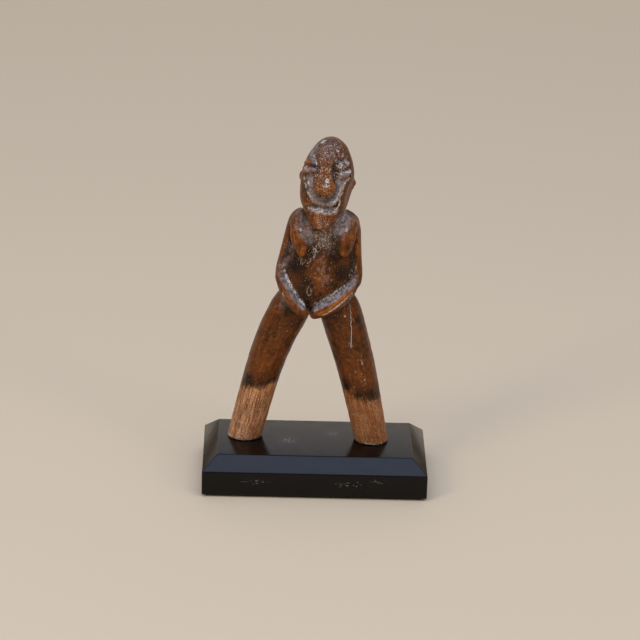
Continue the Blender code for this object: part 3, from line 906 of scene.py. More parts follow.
LOW_DUST_AND_SHEEN = [
    (0.9, -13.2, 127.6, 5.0, 0.25), (1.9, -13.9, 123.4, 5.0, 0.35), (2.6, -14.3, 118.0, 4.5, 0.35),
    (-17.0, -5.7, 126.6, 5.0, 0.45), (-19.6, -4.4, 122.0, 5.0, 0.5),
    (-21.0, -6.0, 106.0, 6.0, 0.4), (-19.0, -8.0, 104.0, 9.0, 0.35),
    (14.0, -9.0, 104.0, 7.0, 0.35), (-16.6, -6.6, 133.0, 5.0, 0.5), (2.0, -6.0, 186.0, 12.0, 0.3),
    (-7.0, -3.0, 187.0, 8.0, 0.7), (0.5, -10.0, 182.0, 6.0, 0.25), (1.4, -11.6, 140.5, 9.0, 0.5),
    (5.4, -11.2, 134.5, 5.0, 0.35), (-20.0, -4.0, 108.0, 6.0, 0.3), (0.4, -14.6, 149.5, 7.0, 0.28),
]
dust_and_sheen = strongest(
    0.74 * touched(ARM_TOPS, 2.9, sharp=0.6),
    touched(NOSE_GROOVE, 3.3, sharp=0.5),
    0.8 * touched(MOUTH_SHELF, 2.6, sharp=0.6),
    patch(EYE_DUST_AND_SHEEN),
    patch(SHOULDER_DUST_AND_SHEEN),
    patch(LOW_DUST_AND_SHEEN),
)
print("film:", round(float(dust_and_sheen.mean()), 3))

# %% Pale residue and painted highlights
# Light clay or chalk stays in the deepest lines, in broken strokes. The same pale mark also paints
# glints on the breasts, a highlight on the nose tip, and light on the mouth shelf and in the groove
# under the nose, where those planes mirror the light overhead.
jitter = np.random.default_rng(7)
DOTS_RIGHT_LEG = [
    (23.4 + 0.15 * k + jitter.normal(0.0, 0.7), -9.1, 73.0 - k, 0.75, jitter.uniform(0.3, 0.9))
    for k in np.arange(0.0, 19.0, 1.1)
]
# Pale chips of bare wood. The spots on the breasts paint glints, and those on the nose tip a
# painted highlight.
PALE_CHIPS_AND_GLINTS = [
    (-0.4, -1.8, 190.0, 1.9, 1.0), (-11.0, -12.0, 144.9, 1.2, 1.0), (13.2, -12.3, 145.1, 1.3, 1.0),
    (13.8, -10.5, 96.5, 0.9, 0.9), (7.4, -7.8, 187.0, 1.2, 0.9), (2.2, -17.9, 173.8, 1.7, 1.0),
    (2.0, -18.4, 171.6, 1.6, 0.9), (1.6, -18.8, 169.6, 1.2, 0.7), (9.0, -11.5, 180.0, 2.0, 0.9),
    (12.5, -7.6, 181.1, 2.0, 0.75), (11.6, -12.2, 176.5, 1.5, 0.8),
    (13.5, -11.2, 177.4, 1.5, 0.85), (-5.0, -5.9, 183.2, 1.2, 0.6), (9.4, -12.3, 176.0, 1.0, 0.7),
    (10.2, -7.8, 184.4, 1.0, 0.7), (-28.0, -6.6, 86.0, 0.6, 0.7), (-31.2, -5.7, 75.4, 0.6, 0.6),
    (1.5, -15.6, 150.5, 1.0, 0.6),
]
THICK_LINES = [
    INSIDE_LEFT_ARM, INSIDE_RIGHT_ARM, ARMPIT_LEFT, ARMPIT_RIGHT,
    [(p[0] - 0.4, p[1], p[2] + 0.5, 0.65) for p in CHEEK_LEFT[:5]],
    [(-7.5, -11.2, 171.6, 0.8), (-7.2, -11.6, 170.4), (-6.7, -12.4, 168.8, 0.6)],
]
THIN_LINES = [
    UNDER_RIGHT_ARM, *CHEST_SCRATCHES, *HIP_NICKS,
    EYE_RIM_LEFT[1:5], EYE_RIM_RIGHT[3:], CHEEK_RIGHT,
    [(x, y, z + 0.4, 0.9) for x, y, z, *_ in LOWER_LIP[2:7]],
    [(x, y, z - 0.9, 1.0) for x, y, z, *_ in MOUTH[1:5]],
    [
        (9.1, -13.9, 162.3, 0.6), (8.6, -13.8, 159.5, 0.8), (7.4, -14.3, 156.9, 0.8),
        (6.4, -15.2, 154.4, 0.5),
    ],
    [(10.7, -13.2, 168.7), (10.0, -13.4, 166.0), (9.0, -14.1, 164.0, 0.7)],
]
HAIRLINES = [
    [(x, y, z, 0.4 + 0.5 * (x > -5.6)) for x, y, z in NAVEL_RING], *MOUTH_NICKS,
    [
        (-42.7, -3.5, 32.6, 0.3), (-40.5, -5.2, 32.5, 0.6), (-38.3, -6.2, 31.5, 0.6),
        (-36.7, -6.5, 31.1, 0.3),
    ],
]
UNDER_BREAST = [
    (-10.8, -10.1, 127.8), (-8.7, -11.3, 126.6), (-6.6, -11.7, 127.4), (-4.6, -11.4, 129.6),
    (-3.6, -10.9, 132.8), (-2.6, -11.2, 135.1),
]
residue_and_highlights = strongest(
    touched(THICK_LINES, 0.95),
    touched(THIN_LINES, 0.62),
    touched(HAIRLINES, 0.5),
    0.65 * touched(MOUTH_SHELF, 1.8),
    0.22 * touched(NOSE_GROOVE, 2.2),
    patch(PALE_CHIPS_AND_GLINTS),
    patch(DOTS_RIGHT_LEG),
)
CHALKY_PLACES = [
    (1.5, -11.5, 139.5, 10.0, 1.25), (5.0, -11.4, 134.0, 5.0, 0.9), (-3.0, -11.5, 140.0, 5.0, 1.2),
]
chalky = strongest(
    0.95 * touched([UNDER_BREAST], 3.6),
    patch(CHALKY_PLACES),
    0.8 * touched([INSIDE_RIGHT_ARM, INSIDE_LEFT_ARM], 2.6),
)
print("residue:", round(float(residue_and_highlights.mean()), 4))

# %% Worn wood, soot and painted shade, and open pores
WORN_PLACES = [
    (1.2, -18.0, 168.5, 10.0, 0.75), (0.0, -15.5, 148.5, 11.0, 1.0),
    (-11.0, -6.0, 160.0, 8.0, 0.5), (12.6, -7.0, 161.0, 8.0, 0.5), (-9.8, -15.6, 132.0, 4.4, 1.0),
    (12.0, -15.6, 132.0, 4.4, 0.8), (-14.0, -11.0, 140.0, 5.0, 0.9), (16.4, -9.6, 141.0, 6.0, 0.7),
    (20.0, -3.0, 134.0, 8.0, 0.6), (19.0, -2.0, 146.0, 5.0, 0.8), (-0.2, -13.6, 121.0, 7.0, 0.6),
    (13.0, -11.0, 125.0, 4.5, 0.8), (-30.0, -7.0, 68.0, 15.0, 0.45),
    (22.0, -9.0, 62.0, 15.0, 0.45), (18.8, -8.9, 53.4, 2.8, 1.0), (10.9, -11.5, 179.3, 1.6, 1.0),
    (10.3, -12.7, 174.0, 1.9, 1.0), (12.4, -11.8, 173.2, 1.9, 1.0), (-8.6, -9.2, 181.4, 2.4, 0.9),
    (-8.9, -10.4, 176.0, 2.4, 0.9), (-6.3, -11.0, 176.1, 2.0, 0.9),
]
LOW_ARM_EDGES = [UNDER_LEFT_ARM, [(x, y - 0.5, z + 1.2) for x, y, z, *_ in UNDER_RIGHT_ARM]]
worn = strongest(patch(WORN_PLACES), 0.9 * touched(LOW_ARM_EDGES, 2.4))
# Soot settles in hollows, and this mark also paints shade: at the sides of the belly, under the
# arms and breasts, in the hole between the hands, between the legs, and in the cuts of the eyes and
# mouth.
SOOT_AND_SHADE_PLACES = [
    (-12.0, -10.5, 124.0, 9.5, 1.0), (11.0, -11.0, 121.0, 8.0, 0.8), (8.0, -11.5, 127.5, 6.0, 0.8),
    (-8.0, -13.0, 106.5, 6.0, 0.8), (-5.7, -13.0, 101.4, 3.0, 1.0), (-8.0, -13.0, 116.0, 7.0, 0.7),
    (8.0, -13.0, 114.0, 7.0, 0.6), (-15.5, -10.0, 100.0, 8.0, 0.7), (3.0, -10.0, 96.0, 8.0, 0.5),
    (-14.0, -9.0, 92.0, 9.0, 0.55), (24.0, -7.0, 92.0, 10.0, 0.55), (4.0, -12.0, 133.5, 5.0, 0.7),
    (1.5, -12.0, 140.5, 9.0, 0.65), (-22.0, -8.0, 92.0, 9.0, 0.45), (9.0, -9.0, 88.0, 8.0, 0.4),
    (3.0, -4.0, 188.0, 12.0, 0.55), (-36.0, -5.0, 57.0, 5.0, 0.9), (-25.0, -6.0, 55.5, 4.5, 0.9),
    (14.0, -8.0, 55.0, 6.0, 1.0), (28.5, -7.0, 51.5, 5.0, 0.9), (22.5, -9.0, 50.5, 3.0, 0.8),
]
EYE_CUTS = [UPPER_LID_LEFT, LOWER_LID_LEFT, UPPER_LID_RIGHT, LOWER_LID_RIGHT, MOUTH]
soot_and_shade = strongest(patch(SOOT_AND_SHADE_PLACES), 0.9 * touched(EYE_CUTS, 0.9), 0.7 * touched(MOUTH_NICKS, 1.4))
PORE_PLACES = [
    (2.5, -6.0, 184.0, 16.0, 1.2), (1.5, -15.0, 177.0, 10.0, 1.2), (0.8, -17.0, 169.0, 10.0, 1.1),
    (0.0, -14.0, 149.0, 9.0, 1.2), (11.0, -10.0, 178.0, 7.0, 1.1),
    (-1.0, -14.0, 121.0, 14.0, 0.55), (-8.0, -10.0, 147.0, 8.0, 0.6),
    (10.0, -9.0, 149.0, 9.0, 0.7), (-6.0, -8.0, 178.0, 6.0, 0.6), (-6.0, -13.0, 163.0, 6.0, 0.6),
    (8.0, -14.0, 165.0, 6.0, 0.8),
]
# A few pores are open all over, a few more on the body, and many on the bare feet.
BARE_BELOW = 48.0
scattered = 0.10 + 0.05 * (skin[:, 2] > LEG_TOP) + 0.45 * (skin[:, 2] < BARE_BELOW)
pores = strongest(patch(PORE_PLACES), chalky, scattered)
# The slits and slabs of the eyes are rubbed clean of dust and residue, so they get no grey film,
# painted sheen or painted glint.
WIPED_PLACES = [(10.7, -12.0, 178.8, 2.0, 0.95), (11.3, -12.6, 173.4, 2.4, 0.95)]
wiped = strongest(0.9 * touched(EYE_CUTS[:4], 1.0), patch(WIPED_PLACES))
dust_and_sheen, residue_and_highlights = dust_and_sheen * (1.0 - wiped), residue_and_highlights * (1.0 - wiped)
print("worn:", round(float(worn.mean()), 3), "pores:", round(float(pores.mean()), 3))

# %% The edge of the patina on each leg
PATINA_EDGE = [
    (-43.0, 52.6), (-39.0, 52.8), (-32.0, 53.3), (-24.0, 55.5), (-2.0, 56.0), (13.0, 53.4),
    (16.0, 53.0), (19.0, 50.4), (23.3, 48.8), (27.6, 48.2), (33.0, 48.6), (38.0, 49.5),
]
RAW_SPAN, STAIN_SPAN = 40.0, 40.0
edge_x, edge_height = np.array(PATINA_EDGE).T
below_edge = np.interp(skin[:, 0], edge_x, edge_height) - skin[:, 2]
raw = np.clip(0.5 + below_edge / RAW_SPAN, 0.0, 1.0)
# The foot on the right is stained browner than the one on the left.
stained = np.clip(0.5 + skin[:, 0] / STAIN_SPAN, 0.0, 1.0)
foot_top = base_high.z / MM
print("raw wood covers", round(float((raw > 0.5).mean()) * 100), "% of the skin")

# %% Round the sawn rims
RIM_HEIGHT, RIM_ROUND, CHIP_SIZE = 1.5, 0.75, 1.6
PALE_RIM, PALE_FADE = 2.6, 1.4
low = np.clip((foot_top + RIM_HEIGHT - skin[:, 2]) / RIM_HEIGHT, 0.0, 1.0)
chips = np.array([noise.noise(Vector(p) / CHIP_SIZE) for p in skin])
skin -= outward * (RIM_ROUND * low**2 * (0.8 + 1.4 * np.clip(chips, 0.0, 1.0)))[:, None]
rim = np.clip((foot_top + PALE_RIM - skin[:, 2]) / PALE_FADE, 0.0, 1.0)
rim *= np.clip(3.6 * chips - 0.35, 0.0, 1.0)
residue_and_highlights = np.maximum(residue_and_highlights, np.clip(rim * 1.2, 0.0, 1.0) * (outward[:, 1] < 0.3))
print("points on the sawn rims:", int((low > 0).sum()))

# %% Store the marks and saw the feet flat
CRACK_REACH, SAW_GAP = 3.0, 0.05
which, gap, side, _ = near(CRACK, CRACK_REACH)
crack_side = np.full(len(skin), CRACK_REACH)
crack_side[which] = gap * np.sign(side)
skin_marks = {
    "crack_side": crack_side, "crack": np.clip(4.0 * touched([CRACK], 1.5), 0.0, 1.0),
    "raw": raw, "dust_and_sheen": dust_and_sheen, "residue_and_highlights": residue_and_highlights, "worn": worn, "soot_and_shade": soot_and_shade, "pores": pores,
    "stained": stained, "hollow": np.clip(hollow, 0.0, 1.0), "edge": np.clip(edge, 0.0, 1.0),
}
melted.vertices.foreach_set("co", (skin * MM).ravel())
for name, values in skin_marks.items():
    melted.attributes.new(name, "FLOAT", "POINT").data.foreach_set("value", values)
melted.attributes.new("fibre", "FLOAT_VECTOR", "POINT").data.foreach_set("vector", fibre.ravel())

figure_bm = bmesh.new()
figure_bm.from_mesh(melted)
sawn = bmesh.ops.bisect_plane(
    figure_bm,
    geom=figure_bm.verts[:] + figure_bm.edges[:] + figure_bm.faces[:],
    plane_co=(0.0, 0.0, (foot_top + SAW_GAP) * MM),
    plane_no=(0.0, 0.0, 1.0),
    clear_inner=True,
)
rims = [e for e in sawn["geom_cut"] if isinstance(e, bmesh.types.BMEdge)]
sawn_line = np.array([v.co[:2] for v in sawn["geom_cut"] if isinstance(v, bmesh.types.BMVert)])
soles = bmesh.ops.holes_fill(figure_bm, edges=rims)["faces"]
for edge_around in rims:
    edge_around.smooth = False
for face in figure_bm.faces:
    face.smooth = True
figure_mesh = bpy.data.meshes.new("doll")
figure_bm.to_mesh(figure_mesh)
figure_bm.free()
bpy.data.meshes.remove(melted)
figure = placed("doll", figure_mesh)
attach(figure, "root")
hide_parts("carved_figure")
triangles = sum(len(f.vertices) - 2 for f in figure_mesh.polygons)
print("soles:", len(soles), "doll triangles:", triangles)

# %% [markdown]
# ## Old hardwood with a hand-rubbed patina
#
# The wood is a dense tropical hardwood, oiled, smoked and handled for years. That gives a dark,
# half-glossy skin over red-brown wood, with long fibres, open pores that have filled with pale
# dust, and bare fibres where the patina ends. All patterns run in fibre coordinates, so the grain
# follows each leg. An image of wood could be wrapped on, but it would stretch over so uneven a
# form, and noise in fibre coordinates does not. Sizes are in millimetres.

# %% Wood colours and pattern sizes
# Dense hardwood, carved with a knife, then oiled, smoked and rubbed by hand: to the eye it is a
# deep red-brown with a soft gloss, nearly black in the cuts and orange where it is worn. Its fibres
# are a few hundredths of a millimetre wide and its pores 0.1 to 0.3 mm. Both are too fine to show,
# so fibres, flecks and speckle are drawn coarser, at about half a millimetre or a little more.
WOOD = {
    "dark patina": "#33200c",
    "patina": "#6e3a10",
    "worn patina": "#a05c20",
    # Soot, also used as painted shade in cuts and hollows.
    "soot_and_shade": "#150d06",
    "bare wood": "#d39a6b",
    "bare wood, dark fibre": "#834820",
    "bare wood, stained": "#8f5018",
    # Grey dust film, also used as painted sheen of the overhead light.
    "dust_and_sheen": "#a29b97",
    # Pale residue, also used for painted glints and highlights.
    "residue_and_highlights": "#ddd2c6",
    "pore dust": "#cbb59e",
}
FIBRE_WIDTH, FIBRE_STRETCH = 0.55, 0.07
WIDE_FIBRE, BLOTCH_SIZE, MOTTLE_SIZE = 2.4, 9.0, 2.1
FLECK_SIZE, FLECK_STRETCH = 0.54, 0.6
SPECKLE_SIZE = 0.7

wood, tree, wood_shader = new_material("hand_rubbed_hardwood", Specular_IOR_Level=0.19)
marks = {name: add("Attribute", attribute_name=name, out="Fac") for name in skin_marks}
fibre_place = add("Attribute", attribute_name="fibre", out="Vector")
along_grain = add("Mapping", fibre_place, None, None, (1.0, 1.0, FIBRE_STRETCH))
along_flecks = add("Mapping", fibre_place, None, None, (1.0, 1.0, FLECK_STRETCH))
fibres = add("TexNoise", along_grain, 1 / FIBRE_WIDTH, 3.0, 0.6)
wide_fibres = add("TexNoise", along_grain, 1 / WIDE_FIBRE, 2.0, 0.5)
blotches = add("TexNoise", fibre_place, 1 / BLOTCH_SIZE, 3.0, 0.6)
mottle = add("TexNoise", fibre_place, 1 / MOTTLE_SIZE, 2.0, 0.6)
speckle = add("TexNoise", fibre_place, 1 / SPECKLE_SIZE, 2.0, 0.6)
fleck_noise = add("TexNoise", along_flecks, 1 / FLECK_SIZE, 1.0, 0.5)
print("wood colours:", len(WOOD), "marks:", len(marks))

# %% Patina, worn patina, soot and painted shade
# Noise is 0.5 on average, so the sum starts low enough for plain patina to come out near zero.
rubbed = -1.4
for part, weight in (
    (marks["worn"], 0.8), (marks["edge"], 0.45), (marks["hollow"], -0.6),
    (blotches, 1.5), (mottle, 0.7), (wide_fibres, 0.6),
):
    rubbed = add("Math", part, weight, rubbed, **TIMES_PLUS)
darker = add("MapRange", rubbed, -0.35, 0.3, **EASE)
skin_colour = add("Mix", darker, WOOD["dark patina"], WOOD["patina"], **COLOURS)
worn_through = add("MapRange", rubbed, 0.35, 1.15, **EASE)
skin_colour = add("Mix", worn_through, skin_colour, WOOD["worn patina"], **COLOURS)
for pattern, dark, light in ((fibres, 0.70, 1.28), (mottle, 0.80, 1.15), (speckle, 0.86, 1.14)):
    shade = add("MapRange", pattern, 0.3, 0.7, dark, light, **EASE)
    skin_colour = add("Mix", 1.0, skin_colour, shade, **DARKEN)
# Soot colour goes where the soot mark is, which also paints shade in hollows and cuts.
soot_and_shade_cover = add("Math", mottle, 0.5, add("Math", marks["soot_and_shade"], 0.25, **MINUS), **TIMES_PLUS)
soot_and_shade_cover = add("MapRange", soot_and_shade_cover, 0.15, 0.85, 0.0, 0.88, **EASE)
skin_colour = add("Mix", soot_and_shade_cover, skin_colour, WOOD["soot_and_shade"], **COLOURS)
print("nodes after the patina:", len(tree.nodes))

# %% Bare wood below the patina and the dark tide line above it
ragged = add("Math", marks["raw"], 0.20, **MINUS)
for pattern, weight in ((wide_fibres, 0.14), (mottle, 0.14), (blotches, 0.12)):
    ragged = add("Math", pattern, weight, ragged, **TIMES_PLUS)
tide = add("MapRange", ragged, 0.22, 0.45, **EASE)
for part in (
    add("MapRange", blotches, 0.40, 0.56, 0.25, 1.0, **EASE),
    add("MapRange", mottle, 0.42, 0.56, 0.25, 1.0, **EASE),
    add("MapRange", marks["worn"], 0.0, 1.0, 1.0, 0.1),
):
    tide = add("Math", tide, part, **TIMES)
skin_colour = add("Mix", add("Math", tide, 0.92, **TIMES), skin_colour, WOOD["soot_and_shade"], **COLOURS)
bare_fibre = add("MapRange", fibres, 0.3, 0.62, **EASE)
bare_colour = add("Mix", bare_fibre, WOOD["bare wood, dark fibre"], WOOD["bare wood"], **COLOURS)
dark_band = add("MapRange", wide_fibres, 0.5, 0.34, 0.0, 0.6, **EASE)
bare_colour = add("Mix", dark_band, bare_colour, WOOD["bare wood, dark fibre"], **COLOURS)
for pattern, dark, light in ((speckle, 0.70, 1.32), (blotches, 0.80, 1.12)):
    shade = add("MapRange", pattern, 0.34, 0.66, dark, light, **EASE)
    bare_colour = add("Mix", 1.0, bare_colour, shade, **DARKEN)
stain = add("MapRange", marks["stained"], 0.3, 0.9, 0.0, 0.55)
bare_colour = add("Mix", stain, bare_colour, WOOD["bare wood, stained"], **COLOURS)
bare = add("MapRange", ragged, 0.47, 0.58, **EASE)
skin_colour = add("Mix", bare, skin_colour, bare_colour, **COLOURS)
print("nodes after the bare wood:", len(tree.nodes))

# %% Grey film and painted sheen on up-facing planes
dust_and_sheen_cover = add("Math", mottle, 0.5, add("Math", marks["dust_and_sheen"], 0.25, **MINUS), **TIMES_PLUS)
dust_and_sheen_cover = add("MapRange", dust_and_sheen_cover, 0.08, 0.75, **EASE)
for part in (
    add("MapRange", speckle, 0.34, 0.60, 0.4, 1.0, **EASE),
    add("MapRange", mottle, 0.38, 0.56, 0.5, 1.0, **EASE),
    add("MapRange", wide_fibres, 0.38, 0.58, 0.55, 1.0, **EASE),
    add("MapRange", marks["dust_and_sheen"], 0.02, 0.12, **EASE),
):
    dust_and_sheen_cover = add("Math", dust_and_sheen_cover, part, **TIMES)
skin_colour = add("Mix", add("Math", dust_and_sheen_cover, 0.92, **TIMES), skin_colour, WOOD["dust_and_sheen"], **COLOURS)
print("nodes after the film:", len(tree.nodes))

# %% Pale dust in cuts and pores, and painted glints and highlights
cut_dust = add("Math", marks["hollow"], 0.35, **TIMES)
for part in (
    add("MapRange", speckle, 0.5, 0.72, **EASE),
    add("MapRange", marks["soot_and_shade"], 0.0, 1.0, 1.0, 0.0),
    add("MapRange", bare, 0.0, 1.0, 1.0, 0.0),
):
    cut_dust = add("Math", cut_dust, part, **TIMES)
skin_colour = add("Mix", cut_dust, skin_colour, WOOD["dust_and_sheen"], **COLOURS)
# The residue mark also carries painted glints and highlights.
broken_residue_and_highlights = marks["residue_and_highlights"]
for pattern, low, high, least in ((speckle, 0.40, 0.55, 0.1), (mottle, 0.36, 0.52, 0.35)):
    broken = add("MapRange", pattern, low, high, least, 1.0, **EASE)
    broken_residue_and_highlights = add("Math", broken_residue_and_highlights, broken, **TIMES)
residue_and_highlight_cover = add("MapRange", broken_residue_and_highlights, 0.1, 0.6, **EASE)
skin_colour = add("Mix", residue_and_highlight_cover, skin_colour, WOOD["residue_and_highlights"], **COLOURS)
fleck_height = add("Math", marks["pores"], 0.19, fleck_noise, **TIMES_PLUS)
fleck = add("MapRange", fleck_height, 0.72, 0.79, **EASE)
fleck = add("Math", fleck, add("MapRange", mottle, 0.35, 0.65, 0.2, 0.95, **EASE), **TIMES)
skin_colour = add("Mix", fleck, skin_colour, WOOD["pore dust"], **COLOURS)
off_crack = add("Math", marks["crack_side"], operation="ABSOLUTE")
split_line = add("MapRange", off_crack, 0.34, 0.16, **EASE)
for part in (marks["crack"], add("MapRange", speckle, 0.3, 0.5, 0.35, 0.9, **EASE)):
    split_line = add("Math", split_line, part, **TIMES)
skin_colour = add("Mix", split_line, skin_colour, WOOD["residue_and_highlights"], **COLOURS)
tree.links.new(skin_colour, wood_shader.inputs["Base Color"])
print("nodes after the dust:", len(tree.nodes))

# %% Gloss and relief of the wood
gloss = add("MapRange", speckle, 0.3, 0.7, 0.28, 0.42, **EASE)
for part, weight in ((dust_and_sheen_cover, 0.12), (bare, 0.25), (add("Math", broken_residue_and_highlights, fleck, **LARGEST), 0.2)):
    gloss = add("Math", part, weight, gloss, **TIMES_PLUS)
tree.links.new(gloss, wood_shader.inputs["Roughness"])
relief = add("Math", fibres, add("Math", bare, 0.25, 0.05, **TIMES_PLUS), **TIMES)
dents_of_pores = add("Math", fleck_noise, marks["pores"], **TIMES)
for part, weight in ((speckle, 0.10), (mottle, 0.22), (dents_of_pores, -0.3)):
    relief = add("Math", part, weight, relief, **TIMES_PLUS)
bump = add("Bump", {"Height": relief, "Distance": MM, "Strength": 1.0})
tree.links.new(bump, wood_shader.inputs["Normal"])
figure_mesh.materials.append(wood)
print("wood nodes:", len(tree.nodes))

# %% [markdown]
# ## The painted base
#
# The base is a block of wood with its four top edges planed off, sprayed black and half-glossy. A
# bevel on the top edges would cut them all at one angle, but these slopes are wider than they are
# tall. So the block is one cube whose top face is extruded and drawn in, which makes the four
# slopes and their mitred corners in one step. Paint rounds every edge, so all get a small bevel.


# %% Rounded edges, and a finished piece
def round_off(bm, edges, radius, segments):
    """Round some edges of a bmesh, as paint or a file does."""
    bmesh.ops.bevel(
        bm, geom=edges, offset=radius, segments=segments, profile=0.5, affect="EDGES", material=-1
    )


SHARP_FROM = 40.0


def finished(name, bm, slot, *nodes_replaced):
    """Make the piece from its bmesh, let it ride on the frame, and hide the imported parts that it
    replaces.
    """
    bmesh.ops.recalc_face_normals(bm, faces=bm.faces)
    mesh = bpy.data.meshes.new(name)
    bm.to_mesh(mesh)
    bm.free()
    mesh.shade_smooth()
    mesh.set_sharp_from_angle(angle=radians(SHARP_FROM))
    piece = placed(name, mesh)
    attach(piece, "root")
    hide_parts(*nodes_replaced)
    return piece


print("edges stay sharp from", SHARP_FROM, "degrees")

# %% Block and slopes
SLOPE_INSET, SLOPE_DROP, PAINTED_EDGE = 7.9 * MM, 7.2 * MM, 0.45 * MM

half_width, half_depth = (base_high.x - base_low.x) / 2, (base_high.y - base_low.y) / 2
block = bmesh.new()
bmesh.ops.create_cube(block, size=1.0)
wall_top = base_high.z - SLOPE_DROP
block_size = (2 * half_width, 2 * half_depth, wall_top - base_low.z)
bmesh.ops.scale(block, vec=block_size, verts=block.verts)
bmesh.ops.translate(block, vec=(0.0, 0.0, (wall_top + base_low.z) / 2), verts=block.verts)
lid = [f for f in block.faces if f.normal.z > 0.9]
raised = bmesh.ops.extrude_face_region(block, geom=lid)
bmesh.ops.delete(block, geom=lid, context="FACES_ONLY")
raised_verts = [v for v in raised["geom"] if isinstance(v, bmesh.types.BMVert)]
draw_in = (1 - SLOPE_INSET / half_width, 1 - SLOPE_INSET / half_depth, 1.0)
bmesh.ops.scale(block, vec=draw_in, verts=raised_verts)
bmesh.ops.translate(block, vec=(0.0, 0.0, SLOPE_DROP), verts=raised_verts)
round_off(block, block.edges[:], PAINTED_EDGE, 3)
base = finished("painted_base", block, "black_paint", "display_base")
print("base faces:", len(base.data.polygons))

# %% [markdown]
# ## Sprayed black paint
#
# Paint from a spray can dries with a faint orange-peel surface, and then picks up scuffs where
# things touch it. Black paint shows little colour of its own, so its gloss and what it mirrors are
# nearly all that is seen. Noise gives the scuffs, and soft spots put the wear where hands put it.

# %% Black paint
# Real scratches are a few hundredths of a millimetre wide, so they are drawn coarser than that.
SCUFF_SIZE, PEEL_SIZE, SCRATCH_SIZE = 7.0 * MM, 1.1 * MM, 0.5 * MM
SCRATCH_STRETCH = 0.3
RUBBED = [((-14.0, -3.6, 21.5), (9.0, 7.0, 6.0)), ((9.5, 6.6, 21.5), (7.0, 5.0, 6.0))]
CHIPPED = [
    ((-32.0, -32.0, 9.4), (17.0, 6.0, 3.0)), ((17.0, -32.0, 8.8), (18.0, 6.0, 4.4)),
    ((34.0, -32.0, 10.6), (10.0, 6.0, 2.6)),
]
PAINT = {"black": "#0b0705", "scuffed": "#15100d", "rubbed": "#8d8680", "chipped": "#b4aaa0"}
paint, tree, paint_shader = new_material("sprayed_black_paint", Specular_IOR_Level=0.23)
place = add("TexCoord", out="Object")


def spot(middle, reach):
    """A mark that fades out round a place, with a reach in x, y and z, all in millimetres."""
    scale = tuple(1.0 / (r * MM) for r in reach)
    shift = tuple(-m / r for m, r in zip(middle, reach))
    away = add("VectorMath", add("Mapping", place, shift, None, scale), operation="LENGTH")
    return add("MapRange", away, 1.0, 0.2, **EASE)


def spots(places):
    """The strongest of several spots."""
    total = spot(*places[0])
    for middle, reach in places[1:]:
        total = add("Math", total, spot(middle, reach), **LARGEST)
    return total


scuffs = add("TexNoise", place, 1 / SCUFF_SIZE, 4.0, 0.6)
orange_peel = add("TexNoise", place, 1 / PEEL_SIZE, 2.0, 0.6)
along_scratches = add("Mapping", place, None, None, (SCRATCH_STRETCH, 1.0, 1.0))
scratches = add("TexNoise", along_scratches, 1 / SCRATCH_SIZE, 2.0, 0.6)
rubbed_spots, chipped = spots(RUBBED), spots(CHIPPED)
worn_spots = add("Math", rubbed_spots, add("Math", chipped, 0.75, **TIMES), **LARGEST)
speck = add("Math", worn_spots, 0.25, scratches, **TIMES_PLUS)
speck = add("MapRange", speck, 0.78, 0.84, **EASE)
scuffed = add("MapRange", scuffs, 0.5, 0.8, **EASE)
paint_colour = add("Mix", scuffed, PAINT["black"], PAINT["scuffed"], **COLOURS)
for cover, share, name in ((rubbed_spots, 0.06, "rubbed"), (speck, 0.6, "chipped")):
    cover = add("Math", cover, share, **TIMES)
    paint_colour = add("Mix", cover, paint_colour, PAINT[name], **COLOURS)
tree.links.new(paint_colour, paint_shader.inputs["Base Color"])
paint_gloss = add("MapRange", scuffs, 0.35, 0.75, 0.17, 0.27, **EASE)
paint_gloss = add("Math", speck, 0.4, paint_gloss, **TIMES_PLUS)
tree.links.new(paint_gloss, paint_shader.inputs["Roughness"])
paint_relief = add("Math", speck, -0.03, add("Math", orange_peel, 0.012, **TIMES), **TIMES_PLUS)
bump = add("Bump", {"Height": paint_relief, "Distance": MM, "Strength": 1.0})
tree.links.new(bump, paint_shader.inputs["Normal"])
base.data.materials.append(paint)
print("paint nodes:", len(tree.nodes))

# %% [markdown]
# ## Glue beads
#
# A little clear glue squeezed out under each foot and dried as an uneven bead. A plain torus would
# stand off the foot, which is not round. So a small circle is spun into a ring, and each point is
# then moved to the sawn edge that the saw cut left, and swollen or thinned by noise.


# %% Glue beads
BEAD_RADIUS, BEAD_GAP, BEAD_LIFT = 0.34 * MM, 0.05 * MM, 0.12 * MM
BEAD_STEPS, LUMPS_ROUND = 120, 3.2


